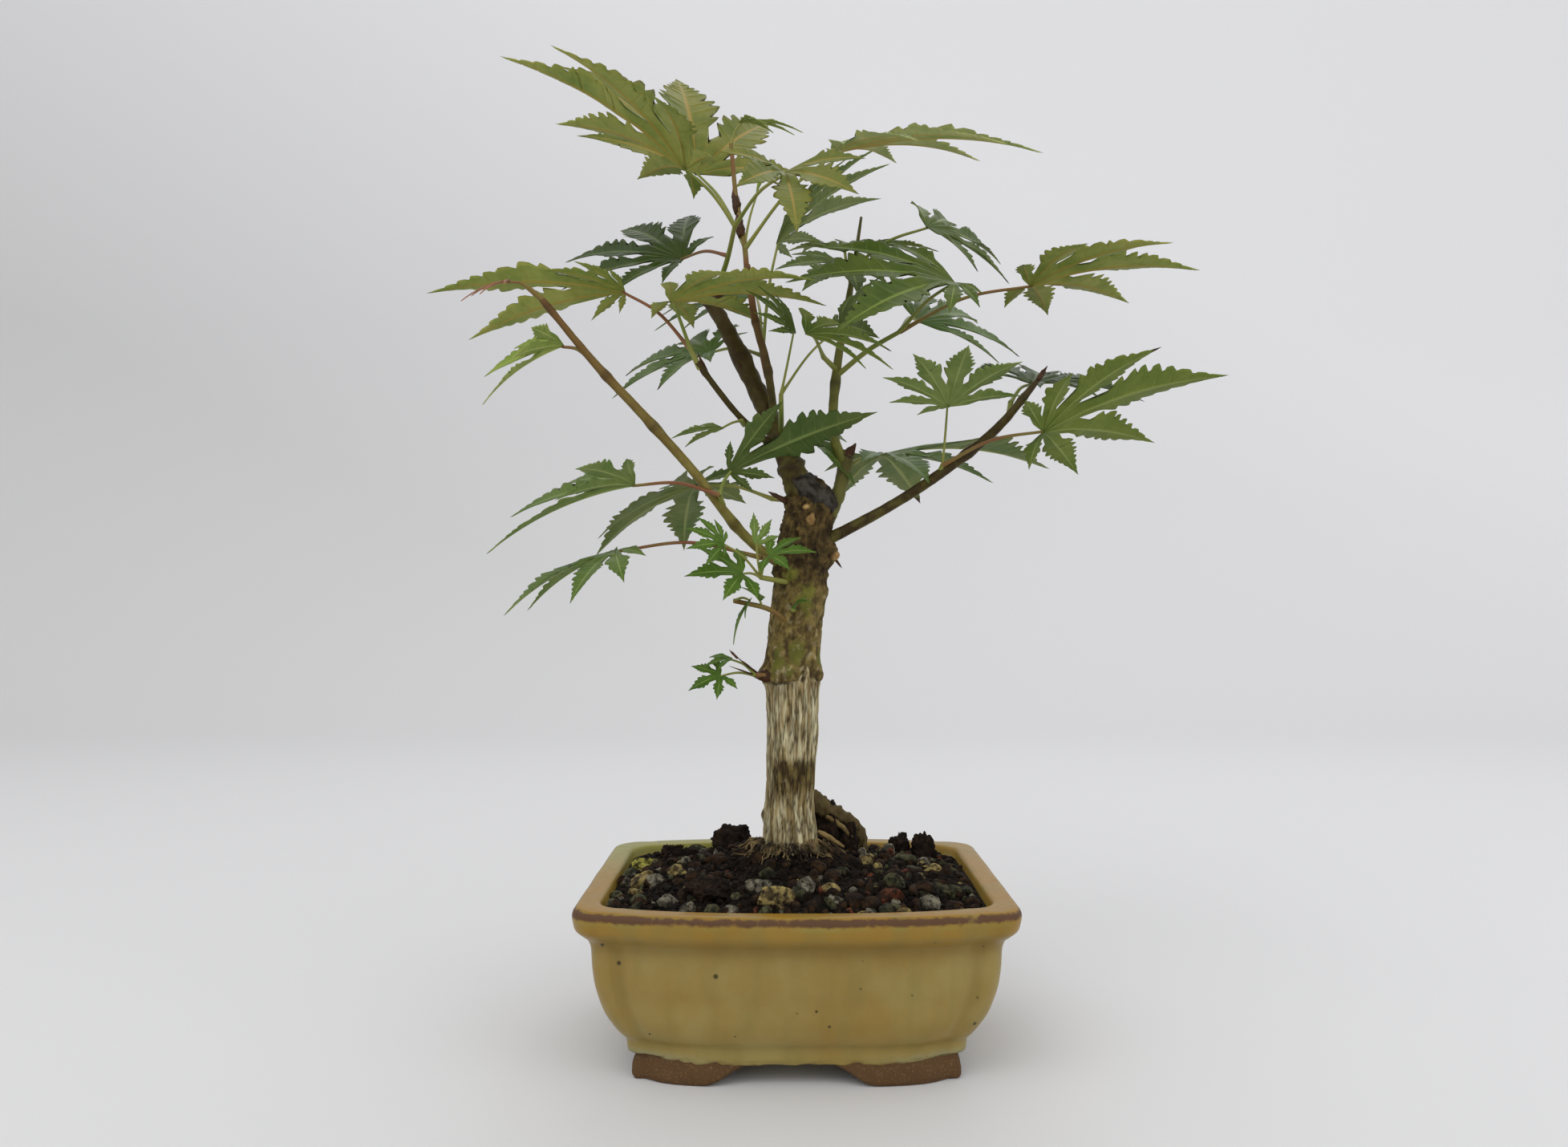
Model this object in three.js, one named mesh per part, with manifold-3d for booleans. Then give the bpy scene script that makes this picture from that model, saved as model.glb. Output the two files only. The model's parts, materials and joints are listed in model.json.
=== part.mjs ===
// A small bonsai maple in a low pot of ochre-glazed stoneware, in millimetres with +Z up.
// The pot is a rectangle with lobed corners and four unglazed feet. One leaning trunk rises from its
// soil to a sealed cut, where the leader and the boughs start. Each group of leaves is one solid: a
// stem, the leaf stalks and the palmate blades, fused.

import * as THREE from 'three';
import { mergeVertices } from 'three/addons/utils/BufferGeometryUtils.js';
import Module from 'manifold-3d';

const manifold = await Module();
manifold.setup();

// Pot
const potHeight = 55;
const potHalfLength = 71;
const potHalfDepth = 62;
const cornerRadius = 10; // of the round lobe at each corner
const frontBulge = 6; // how far the middle of the front stands out past the corner lobes
const bulgeShare = 0.9; // of the bulge that the long wall has lost where it meets the crease
const bulgePower = 2.6; // how flat the middle of the long wall is
const creaseShift = 5; // from the lobe's centre to the crease, along the length
const creaseDepth = 1.6; // of the crease beside each corner lobe, at the lip
const rimWidth = 8;
const lipHeight = 8;
const floorInset = 22; // how far the inside of the wall lies in from the rim, at the floor
const innerFloor = 14;
const wallProfile = [ // up the outside: how far in from the rim, the crease's depth and the height
  { inset: 18, crease: creaseDepth, height: 6.5 },
  { inset: 16, crease: creaseDepth, height: 9 },
  { inset: 13.5, crease: creaseDepth * 1.3, height: 15 },
  { inset: 9.5, crease: creaseDepth * 1.6, height: 22 },
  { inset: 6.5, crease: creaseDepth * 1.6, height: 31 },
  { inset: 6, crease: creaseDepth * 1.3, height: potHeight - lipHeight - 3 },
  { inset: 6, crease: creaseDepth, height: potHeight - lipHeight - 1 },
  { inset: 1.5, crease: creaseDepth, height: potHeight - lipHeight + 2 },
  { inset: 0, crease: creaseDepth, height: potHeight - lipHeight + 4.5 },
  { inset: 0, crease: creaseDepth, height: potHeight - 1 },
  { inset: 1, crease: creaseDepth, height: potHeight },
];

// Feet
const footReach = 52; // from the pot's middle to the feet's outer end, along the length
const footDepthReach = 50;
const footLength = 33;
const footDepth = 28;
const footFrontWall = 8; // thickness of the leg along the front
const footSideWall = 10; // thickness of the leg along the side
const footCorner = 12; // how much of the corner is cut away
const footCornerCut = 4;
const footElbow = { x: 14, y: 12 }; // the corner between the two legs, in from the outer corner
const footSpread = 2.4; // the legs' inner ends draw in this many times as far as the outer faces
const footProfile = [ // up the foot: how far its faces are drawn in and the height
  { inset: 2.2, height: 0 },
  { inset: 0.8, height: 2 },
  { inset: 0, height: 5 },
  { inset: -1.5, height: 11 },
];

// Soil
const soilEdge = 52.5;
const soilTop = 58.5; // round the mound that the trunk stands on
const plateauRadius = 30;
const plateauStretch = 0.9; // of distances along the length, so that the fall is oval
const soilShares = [0.9, 0.8, 0.69, 0.58, 0.48, 0.38, 0.29, 0.2]; // its rings, as shares of its edge
const mound = { x: -2, tall: 5.5, near: 12, far: 32 }; // of soil and fine roots at the trunk's foot
const stoneSink = 0.35; // of a stone's height that is in the soil
const stones = [ // the largest grit and lumps: where they lie and how long, deep and tall they are
  [-24, 38, 18, 14, 14],
  [50, 35, 13, 10, 17],
  [39.5, 34, 9, 8, 13],
  [-46, 29, 9, 8, 9],
  [-27, -37, 17, 11, 10],
  [-54, 12, 11, 9, 7],
  [-14, -36, 9, 7, 6.5],
  [3, -36, 10, 7, 7],
  [-5, -44.5, 10, 7, 7],
  [12, -44, 6, 5, 5.5],
  [19, -42.5, 8, 6, 6.5],
  [30, -38, 11, 8, 7],
  [33, -26, 10, 8, 7],
  [42, -28, 9, 7, 7],
  [51, -25, 9, 7, 6],
  [48, -2, 8, 6, 5],
  [40, 8, 9, 7, 5.5],
  [25, -4, 7, 6, 5],
  [-41, -38, 8, 6, 6],
  [-53, -14, 9, 7, 6],
  [-41, -9, 7, 6, 5],
  [-32, 8, 7, 6, 5],
  [-37, 33, 8, 7, 6],
  [6, 40, 9, 7, 6],
  [22, 36, 8, 6, 6],
  [52, 16, 8, 7, 6],
  [-9, -24, 7, 6, 5],
  [12, -24, 7, 6, 5],
];
const clearance = 0.3;
const soilClearance = 0.7; // to the pot's wall, whose faces are slightly twisted
const cornerGrid = 0.004; // all corners lie on this grid

// Sides of the round pieces
const trunkSides = 12;
const rootSides = 6;
const limbSides = 7;
const stemSides = 5;
const stalkSides = 4;

// Leaves
const lobeStep = THREE.MathUtils.degToRad(37);
const lobeReach = [1, 0.86, 0.64, 0.38]; // lobe lengths, out from the middle one
const shortestLobe = 0.18; // of the middle lobe's length
const longestLobe = 1.1;
const lobeHalfWidth = 0.17; // of the lobe's length
const lobeSpread = 0.9; // of the half angle between lobes that a lobe may fill
const sinusReach = 0.3; // where neighbouring lobes part
const wideAt = 0.48;
const narrowAt = 0.8;
const narrowShare = 0.5; // of the half width, at narrowAt
const bladeBack = 0.04; // of the middle lobe's length, behind the blade's foot
const bladeArch = 0.07;
const bladeFold = 0.25;
const bladeThickness = 0.9;
const stalkRadius = 0.75;
const smallStalkRadius = 0.5;
const stalkTaper = 0.6;
const stalkBow = 0.08; // of the stalk's length
const stalkInBlade = 1;
const smallBlade = 32; // blades shorter than this are on thin stalks
const stemRadius = 1.2; // at the foot of a group's stem
const stemTaper = 0.4;

const glaze = new THREE.MeshStandardMaterial({ color: 0xb3924f, roughness: 0.35 });
const earth = new THREE.MeshStandardMaterial({ color: 0x33261d, roughness: 0.95 });
const bark = new THREE.MeshStandardMaterial({ color: 0x8d7c62, roughness: 0.9 });
const darkBark = new THREE.MeshStandardMaterial({ color: 0x4d3f2a, roughness: 0.8 });
const greenBark = new THREE.MeshStandardMaterial({ color: 0x6f7438, roughness: 0.6 });
const leafGreen = new THREE.MeshStandardMaterial({ color: 0x5d7f3a, roughness: 0.55 });
const darkLeaf = new THREE.MeshStandardMaterial({ color: 0x3f5f3a, roughness: 0.55 });

const vector = (point) => new THREE.Vector3(...point);

// Solids

function solidFromFaces(positions, faces) {
  const geometry = new THREE.BufferGeometry();
  geometry.setAttribute('position', new THREE.Float32BufferAttribute(positions.flat(), 3));
  geometry.setIndex(faces.flat());
  return solidFromGeometry(geometry);
}

function solidFromGeometry(geometry) {
  const bare = new THREE.BufferGeometry();
  bare.setAttribute('position', geometry.attributes.position);
  bare.setIndex(geometry.index);
  const merged = mergeVertices(bare, 1e-4);
  const mesh = new manifold.Mesh({
    numProp: 3,
    vertProperties: new Float32Array(merged.attributes.position.array),
    triVerts: new Uint32Array(merged.index.array),
  });
  return new manifold.Manifold(mesh);
}

// The corners are set on a fine grid and merged, so that no two of them nearly touch.
function meshFromSolid(name, solid, material) {
  const data = solid.getMesh();
  const snapped = data.vertProperties.map((value) => Math.round(value / cornerGrid) * cornerGrid);
  const rough = new THREE.BufferGeometry();
  rough.setAttribute('position', new THREE.Float32BufferAttribute(snapped, 3));
  rough.setIndex(new THREE.Uint32BufferAttribute(data.triVerts, 1));
  const geometry = mergeVertices(rough, cornerGrid / 4);
  const corners = geometry.index.array;
  const kept = [];
  for (let i = 0; i < corners.length; i += 3) {
    const face = [corners[i], corners[i + 1], corners[i + 2]];
    if (new Set(face).size === 3) {
      kept.push(...face);
    }
  }
  geometry.setIndex(kept);
  geometry.computeVertexNormals();
  const mesh = new THREE.Mesh(geometry, material);
  mesh.name = name;
  return mesh;
}

const unionOf = (solids) => solids.reduce((whole, solid) => whole.add(solid));

// A cut can leave loose scraps beside the body that it was meant for.
function largestBody(solid) {
  return solid.decompose().reduce((best, body) => (body.volume() > best.volume() ? body : best));
}

// A stack of rings with the same number of points, closed by a flat fan at each end.
function loft(rings) {
  const count = rings[0].length;
  const positions = rings.flat();
  const faces = [];
  for (let level = 0; level < rings.length - 1; level += 1) {
    for (let i = 0; i < count; i += 1) {
      const a = level * count + i;
      const b = level * count + ((i + 1) % count);
      faces.push([a, b, b + count], [a, b + count, a + count]);
    }
  }
  const last = (rings.length - 1) * count;
  const mean = (ring, axis) => ring.reduce((sum, point) => sum + point[axis], 0) / count;
  const centreOf = (ring) => [0, 1, 2].map((axis) => mean(ring, axis));
  positions.push(centreOf(rings[0]), centreOf(rings[rings.length - 1]));
  const bottom = positions.length - 2;
  const top = positions.length - 1;
  for (let i = 0; i < count; i += 1) {
    const next = (i + 1) % count;
    faces.push([bottom, next, i], [top, last + i, last + next]);
  }
  return solidFromFaces(positions, faces);
}

// A tube along a smooth curve through the points, with a radius at each point.
function limb(points, radii, sides, extra = 0) {
  const curve = new THREE.CatmullRomCurve3(points.map(vector), false, 'centripetal');
  const steps = (points.length - 1) * 2;
  const frames = curve.computeFrenetFrames(steps);
  const rings = [];
  for (let step = 0; step <= steps; step += 1) {
    const at = (step / steps) * (points.length - 1);
    const before = Math.min(Math.floor(at), points.length - 2);
    const radius = THREE.MathUtils.lerp(radii[before], radii[before + 1], at - before) + extra;
    const centre = curve.getPoint(step / steps);
    const ring = [];
    for (let i = 0; i < sides; i += 1) {
      const turn = (i / sides) * 2 * Math.PI;
      const out = new THREE.Vector3()
        .addScaledVector(frames.normals[step], Math.cos(turn) * radius)
        .addScaledVector(frames.binormals[step], Math.sin(turn) * radius);
      ring.push(out.add(centre).toArray());
    }
    rings.push(ring);
  }
  return loft(rings);
}

// Pot and soil

// One quarter of the plan, from the middle of the right side to the middle of the front.
function potQuarter(halfLength, halfDepth, crease) {
  const lobeX = halfLength - cornerRadius;
  const lobeY = halfDepth - frontBulge - cornerRadius;
  const points = [[halfLength, 0], [halfLength, lobeY]];
  for (const degrees of [30, 60, 90]) {
    const turn = THREE.MathUtils.degToRad(degrees);
    points.push([lobeX + cornerRadius * Math.cos(turn), lobeY + cornerRadius * Math.sin(turn)]);
  }
  const creaseX = lobeX - creaseShift;
  points.push([creaseX, lobeY + cornerRadius - crease]);
  for (const share of [0.8, 0.55, 0.28, 0]) {
    points.push([creaseX * share, halfDepth - frontBulge * bulgeShare * share ** bulgePower]);
  }
  return points;
}

// The whole plan, anticlockwise seen from above, at one height.
function potRing(halfLength, halfDepth, crease, z) {
  const quarter = potQuarter(halfLength, halfDepth, crease);
  const ring = [];
  ring.push(...quarter);
  ring.push(...quarter.slice(0, -1).reverse().map(([x, y]) => [-x, y]));
  ring.push(...quarter.slice(1).map(([x, y]) => [-x, -y]));
  ring.push(...quarter.slice(1, -1).reverse().map(([x, y]) => [x, -y]));
  return ring.map(([x, y]) => [x, y, z]);
}

const insetRing = (inset, crease, z) => potRing(potHalfLength - inset, potHalfDepth - inset, crease, z);

// How far the inside of the wall lies in from the rim's outer edge.
const innerInset = (z) => THREE.MathUtils.mapLinear(z, potHeight, innerFloor, rimWidth, floorInset);

function pot() {
  const outside = wallProfile.map(({ inset, crease, height }) => insetRing(inset, crease, height));
  const insideHeights = [potHeight, potHeight - lipHeight, innerFloor];
  const inside = insideHeights.map((z) => insetRing(innerInset(z), 0, z));
  const shell = loft([...outside, ...inside]);
  return unionOf([shell, ...feet()]);
}

// Four feet that follow the corners, each an L-shaped block with its lower edges drawn in.
function feet() {
  const ringOf = (side, end, { inset, height }) => {
    const back = footReach - footLength + inset * footSpread;
    const inner = footDepthReach - footDepth + inset * footSpread;
    const outer = footReach - inset;
    const front = footDepthReach - inset;
    const outline = [
      [back, front - footFrontWall],
      [back, front],
      [outer - footCorner, front],
      [outer - footCornerCut, front - footCornerCut],
      [outer, front - footCorner],
      [outer, inner],
      [outer - footSideWall, inner],
      [outer - footElbow.x, front - footElbow.y],
    ];
    const placed = outline.map(([x, y]) => [x * end, y * side, height]);
    return side * end > 0 ? placed.reverse() : placed;
  };
  const solids = [];
  for (const side of [-1, 1]) {
    for (const end of [-1, 1]) {
      solids.push(loft(footProfile.map((level) => ringOf(side, end, level))));
    }
  }
  return solids;
}

// The soil is heaped round the trunk and falls to the rim.
function soilHeight(x, y) {
  const fall = THREE.MathUtils.smoothstep(Math.hypot(x * plateauStretch, y), plateauRadius, potHalfDepth);
  const heap = 1 - THREE.MathUtils.smoothstep(Math.hypot(x - mound.x, y), mound.near, mound.far);
  return THREE.MathUtils.lerp(soilTop, soilEdge, fall) + mound.tall * heap;
}

// The bare soil, which may be raised to cut what stands on it clear of it.
function soilBed(raise = 0) {
  const wall = (z) => insetRing(innerInset(z) + soilClearance, 0, z);
  const edge = wall(soilEdge);
  const rings = [wall(innerFloor + clearance), wall(potHeight - lipHeight), edge];
  for (const share of soilShares) {
    const heightAt = ([x, y]) => soilHeight(x * share, y * share) + raise;
    rings.push(edge.map((point) => [point[0] * share, point[1] * share, heightAt(point)]));
  }
  return loft(rings);
}

// A stone or lump with twenty faces, sunk into the soil by part of its height.
function stone([x, y, long, deep, tall], index) {
  const form = new THREE.IcosahedronGeometry(1, 0);
  form.rotateZ(index * 1.7);
  form.scale(long / 2, deep / 2, tall / 2);
  form.translate(x, y, soilHeight(x, y) + tall * (0.5 - stoneSink));
  return solidFromGeometry(mergeVertices(form.deleteAttribute('normal').deleteAttribute('uv')));
}

const soil = () => unionOf([soilBed(), ...stones.map(stone)]);

// Trunk and limbs

// Centre line and radius of the trunk, from the soil to the sealed cut.
const trunkCentres = [
  [-2, 0, 57], [-2, 0, 66], [-2, 0, 82], [-1, 0, 107], [-1, 0, 130],
  [1, 0, 151], [3, 0, 169], [5, 0, 185], [5, 0, 194],
];
const trunkRadii = [13.5, 10.3, 8.6, 9.2, 9.8, 9.6, 9.6, 9.1, 5.5];
const rootPath = [[2, 2, 88], [9, 7, 80], [16, 12, 74], [24, 16, 66], [27, 18, 56]];
const rootRadii = [4, 3.2, 2.6, 2.2, 2];

function trunk(extra = 0) {
  const stem = limb(trunkCentres, trunkRadii, trunkSides, extra);
  const root = limb(rootPath, rootRadii, rootSides, extra);
  return unionOf([stem, root]).subtract(soilBed(clearance));
}

// Limbs from the trunk's top. Each starts inside what carries it and is cut clear of that.
const limbs = [
  {
    name: 'leader',
    carrier: 'trunk',
    path: [[3, 0, 190], [-1, 0, 203], [-9, 2, 218], [-22, 5, 245], [-31, 8, 262]],
    radii: [6, 5, 3.6, 3, 2.6],
    material: darkBark,
  },
  {
    name: 'apex_shoot',
    carrier: 'leader',
    path: [[-7, 0, 213], [-10, -6, 235], [-14, -8, 250], [-17, -8, 270]],
    radii: [1.5, 1.4, 1.3, 1.1],
    material: greenBark,
  },
  {
    name: 'left_shoot',
    carrier: 'leader',
    path: [[-8, 0, 207], [-20, -8, 217], [-34, -16, 234]],
    radii: [1.3, 1.1, 1],
    material: darkBark,
  },
  {
    name: 'left_bough',
    carrier: 'trunk',
    path: [[-3, 0, 163], [-18, -9, 175], [-34, -20, 195], [-51, -25, 214], [-66, -26, 230], [-86, -26, 254]],
    radii: [2.2, 1.9, 1.7, 1.7, 1.4, 1],
    material: greenBark,
  },
  {
    name: 'right_bough',
    carrier: 'trunk',
    path: [[6, 0, 171], [31, -4, 184], [50, -10, 196], [69, -14, 211], [82, -12, 226], [87, -10, 232]],
    radii: [2.3, 1.8, 1.8, 1.6, 1.1, 0.6],
    material: darkBark,
  },
  {
    name: 'cut_stub',
    carrier: 'trunk',
    path: [[10, 3, 178], [16, 5, 192], [19, 8, 206]],
    radii: [2.8, 2.5, 2.4],
    material: greenBark,
  },
  {
    name: 'middle_shoot',
    carrier: 'cut_stub',
    path: [[18, 7, 201], [14, 6, 212], [15, 3, 235], [20, 12, 264], [22, 16, 276], [25, 20, 296]],
    radii: [1.9, 1.8, 1.6, 1.2, 0.9, 0.5],
    material: greenBark,
  },
];

const limbSolid = ({ path, radii }, extra = 0) => limb(path, radii, limbSides, extra);

// Leaves

// Each leaf: where its blade starts, the tip of its longest lobe and the tip of a lobe beside it.
// Options are the number of lobes, how far up the group's stem its stalk leaves, the share of their
// usual length that its unnamed lobes have, and whether both sides droop.
const usual = { lobes: 7, from: 1, rest: 1, droops: false };
const leaf = (foot, tip, side, options = {}) => ({ foot, tip, side, ...usual, ...options });

const foliage = [
  {
    name: 'foliage_top_left',
    carrier: 'leader',
    stem: [[-31, 8, 260], [-25, 0, 272], [-21, -14, 282]],
    leaves: [
      leaf([-38, -16, 301], [-99, -30, 334], [-44, -64, 306]),
      leaf([-4, -40, 291], [0, -68, 262], [22, -50, 292], { lobes: 5, droops: true }),
      leaf([-42, 20, 280], [-91, 45, 286], [-42, 58, 309], { from: 0.6 }),
    ],
  },
  {
    name: 'foliage_top_right',
    carrier: 'apex_shoot',
    stem: [[-17, -8, 267], [-18, -5, 278], [-21, -2, 295], [-23, 0, 316]],
    leaves: [
      leaf([-37, 22, 313], [-49, 66, 369], [-101, 48, 372], { lobes: 5, from: 0.35 }),
      leaf([13, -15, 307], [86, -15, 307], [69, 14, 315], { from: 0.3 }),
      leaf([-20, 0, 324], [3, -5, 318], [-10, -8, 320], { lobes: 5 }),
      leaf([-14, -1, 297], [-7, -7, 308], [-12, 6, 307], { lobes: 3, from: 0.35 }),
    ],
  },
  {
    name: 'foliage_back',
    carrier: 'apex_shoot',
    stem: [[-10, -5, 231], [-12, 6, 241]],
    leaves: [
      leaf([-7, 40, 292], [40, 62, 332], [38, 84, 325]),
      leaf([-14, 40, 272], [-56, 72, 271], [-40, 84, 284], { lobes: 5 }),
      leaf([-32, 25, 246], [-68, 52, 242], [-50, 5, 228]),
    ],
  },
  {
    name: 'foliage_left_high',
    carrier: 'left_shoot',
    stem: [[-33, -15, 232], [-36, -18, 238]],
    leaves: [
      leaf([-60, -6, 261], [-131, -4, 261], [-123, 22, 250], { rest: 0.5 }),
      leaf([-42, -28, 252], [11, -14, 254], [6, -44, 255]),
    ],
  },
  {
    name: 'foliage_centre',
    carrier: 'leader',
    stem: [[-5, 0, 211], [-5, -12, 216], [-5, -16, 223]],
    leaves: [
      leaf([0, -25, 242], [-17, -36, 254], [-14, -38, 246], { lobes: 5 }),
      leaf([15, -18, 246], [36, -28, 260], [27, -44, 236]),
    ],
  },
  {
    name: 'foliage_left_tip',
    carrier: 'left_bough',
    stem: [[-85, -26, 253], [-90, -28, 257]],
    leaves: [leaf([-95, -31, 258], [-110, -36, 250], [-104, -42, 262], { lobes: 5 })],
  },
  {
    name: 'foliage_left_bough',
    carrier: 'left_bough',
    stem: [[-66, -26, 230], [-70, -26, 234]],
    leaves: [leaf([-78, -25, 238], [-103, -35, 216], [-92, -42, 230], { lobes: 5, droops: true })],
  },
  {
    name: 'foliage_left_low',
    carrier: 'left_bough',
    stem: [[-25, -14, 185], [-26, -19, 188]],
    leaves: [
      leaf([-54, -25, 191], [-101, -37, 167], [-77, -45, 184], { droops: true }),
      leaf([-23, -18, 196], [28, -22, 216], [-22, -24, 206], { lobes: 5, rest: 0.35 }),
    ],
  },
  {
    name: 'foliage_left_rear',
    carrier: 'trunk',
    stem: [[2, 4, 188], [-8, 8, 189]],
    leaves: [leaf([-37, 12, 194], [-76, 30, 169], [-44, 52, 172], { droops: true })],
  },
  {
    name: 'foliage_left_front',
    carrier: 'trunk',
    stem: [[-2, -2, 165], [-12, -12, 167]],
    leaves: [leaf([-61, -20, 169], [-95, -38, 147], [-72, -46, 151], { droops: true })],
  },
  {
    name: 'foliage_fork',
    carrier: 'leader',
    stem: [[-4, 4, 209], [-3, 9, 212]],
    leaves: [leaf([-2, 12, 217], [22, 4, 193], [20, 26, 212], { lobes: 3, rest: 0.4 })],
  },
  {
    name: 'foliage_middle_top',
    carrier: 'middle_shoot',
    stem: [[21, 15, 270], [20, 16, 274]],
    leaves: [
      leaf([18, 16, 282], [48, 48, 291], [-3, 30, 286]),
      leaf([19, 10, 275], [2, -14, 259], [22, -12, 258], { lobes: 5 }),
      leaf([50, 25, 294], [84, 55, 288], [46, 45, 310], { lobes: 5 }),
    ],
  },
  {
    name: 'foliage_middle_right',
    carrier: 'middle_shoot',
    stem: [[15, 3, 233], [26, -3, 241], [37, -6, 247]],
    leaves: [
      leaf([54, -22, 260], [11, -60, 234], [34, -5, 278], { rest: 0.45 }),
      leaf([82, -10, 262], [141, -12, 267], [125, 18, 263]),
      leaf([47, 30, 259], [78, 76, 269], [92, 58, 251], { lobes: 5 }),
    ],
  },
  {
    name: 'foliage_middle_left',
    carrier: 'middle_shoot',
    stem: [[15, 3, 235], [10, -5, 238]],
    leaves: [leaf([3, -38, 239], [29, -62, 228], [13, -64, 236], { lobes: 5 })],
  },
  {
    name: 'foliage_right_mid',
    carrier: 'right_bough',
    stem: [[50, -10, 196], [51, -12, 199]],
    leaves: [
      leaf([52, -20, 218], [37, -45, 231], [75, -30, 220]),
      leaf([82, -30, 208], [142, -35, 226], [86, -55, 223], { rest: 0.9 }),
    ],
  },
  {
    name: 'foliage_right_tip',
    carrier: 'right_bough',
    stem: [[74, -13, 217], [75, -10, 221]],
    leaves: [leaf([86, 8, 231], [126, 34, 232], [71, 40, 242])],
  },
  {
    name: 'foliage_right_rear',
    carrier: 'cut_stub',
    stem: [[17, 6, 199], [21, 9, 202]],
    leaves: [leaf([32, 15, 206], [101, 45, 204], [71, 1, 194], { rest: 0.8, droops: true })],
  },
  {
    name: 'foliage_trunk',
    carrier: 'trunk',
    stem: [[0, -4, 158], [-12, -17, 160]],
    leaves: [
      leaf([-24, -28, 171], [-37, -34, 176], [-30, -38, 163]),
      leaf([-18, -24, 161], [-37, -32, 160], [-24, -36, 152], { lobes: 5 }),
      leaf([-9, -26, 167], [7, -30, 168], [-2, -36, 162], { lobes: 5 }),
      leaf([-14, -18, 171], [-8, -20, 180], [-20, -18, 179], { lobes: 3 }),
    ],
  },
  {
    name: 'foliage_stub',
    carrier: 'trunk',
    stem: [[0, -3, 142], [-9, -14, 149], [-21, -20, 152]],
    leaves: [
      leaf([-15, -21, 153], [-21, -24, 137], [-17, -26, 146], { lobes: 3 }),
      leaf([-12, -18, 152], [-17, -24, 157], [-12, -26, 154], { lobes: 3, from: 0.6 }),
    ],
  },
  {
    name: 'foliage_low_sprout',
    carrier: 'trunk',
    stem: [[-4, -3, 126], [-14, -8, 126]],
    leaves: [
      leaf([-26, -9, 126], [-37, -14, 121], [-27, -16, 118], { lobes: 5 }),
      leaf([-22, -8, 132], [-32, -10, 129], [-27, -14, 128], { lobes: 3 }),
    ],
  },
  {
    name: 'foliage_bud',
    carrier: 'trunk',
    stem: [[0, -3, 148], [-1, -12, 149]],
    leaves: [leaf([-1, -13, 150], [5, -17, 152], [0, -19, 149], { lobes: 3 })],
  },
  {
    name: 'withered_leaf',
    carrier: 'left_shoot',
    stem: [[-18, -6, 214], [-19, -9, 215]],
    leaves: [leaf([-25, -11, 212], [-43, -14, 208], [-33, -17, 212], { lobes: 3 })],
  },
];

// The directions and lengths of a leaf's lobes. They step from the middle lobe to the named side
// lobe and past it. On the other side they go on in the same plane or, where the leaf droops, mirror
// the named side in the upright plane of the middle lobe.
function lobesOf({ foot, tip, side, lobes, rest, droops }) {
  const middle = vector(tip).sub(vector(foot));
  const beside = vector(side).sub(vector(foot));
  const turnAxis = middle.clone().cross(beside).normalize();
  const angle = middle.angleTo(beside);
  const steps = Math.max(1, Math.round(angle / lobeStep));
  const stretch = beside.length() / (middle.length() * lobeReach[steps]);
  const upright = middle.clone().cross(new THREE.Vector3(0, 0, 1)).normalize();
  const mirror = (direction) => direction.addScaledVector(upright, -2 * direction.dot(upright));
  const list = [];
  for (let k = (1 - lobes) / 2; k <= (lobes - 1) / 2; k += 1) {
    const out = Math.abs(k);
    const turn = ((droops ? out : k) * angle) / steps;
    const along = middle.clone().normalize().applyAxisAngle(turnAxis, turn);
    const normal = turnAxis.clone();
    if (droops && k < 0) {
      mirror(along);
      mirror(normal);
    } else if (droops && k === 0) {
      normal.add(mirror(turnAxis.clone())).normalize();
    }
    const named = k > 0 && k <= steps;
    const share = named ? THREE.MathUtils.lerp(1, stretch, k / steps) : rest;
    const sideReach = THREE.MathUtils.clamp(lobeReach[out] * share, shortestLobe, longestLobe);
    const length = middle.length() * (k === 0 ? 1 : sideReach);
    list.push({ along, normal, length, step: angle / steps });
  }
  return list;
}

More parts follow.
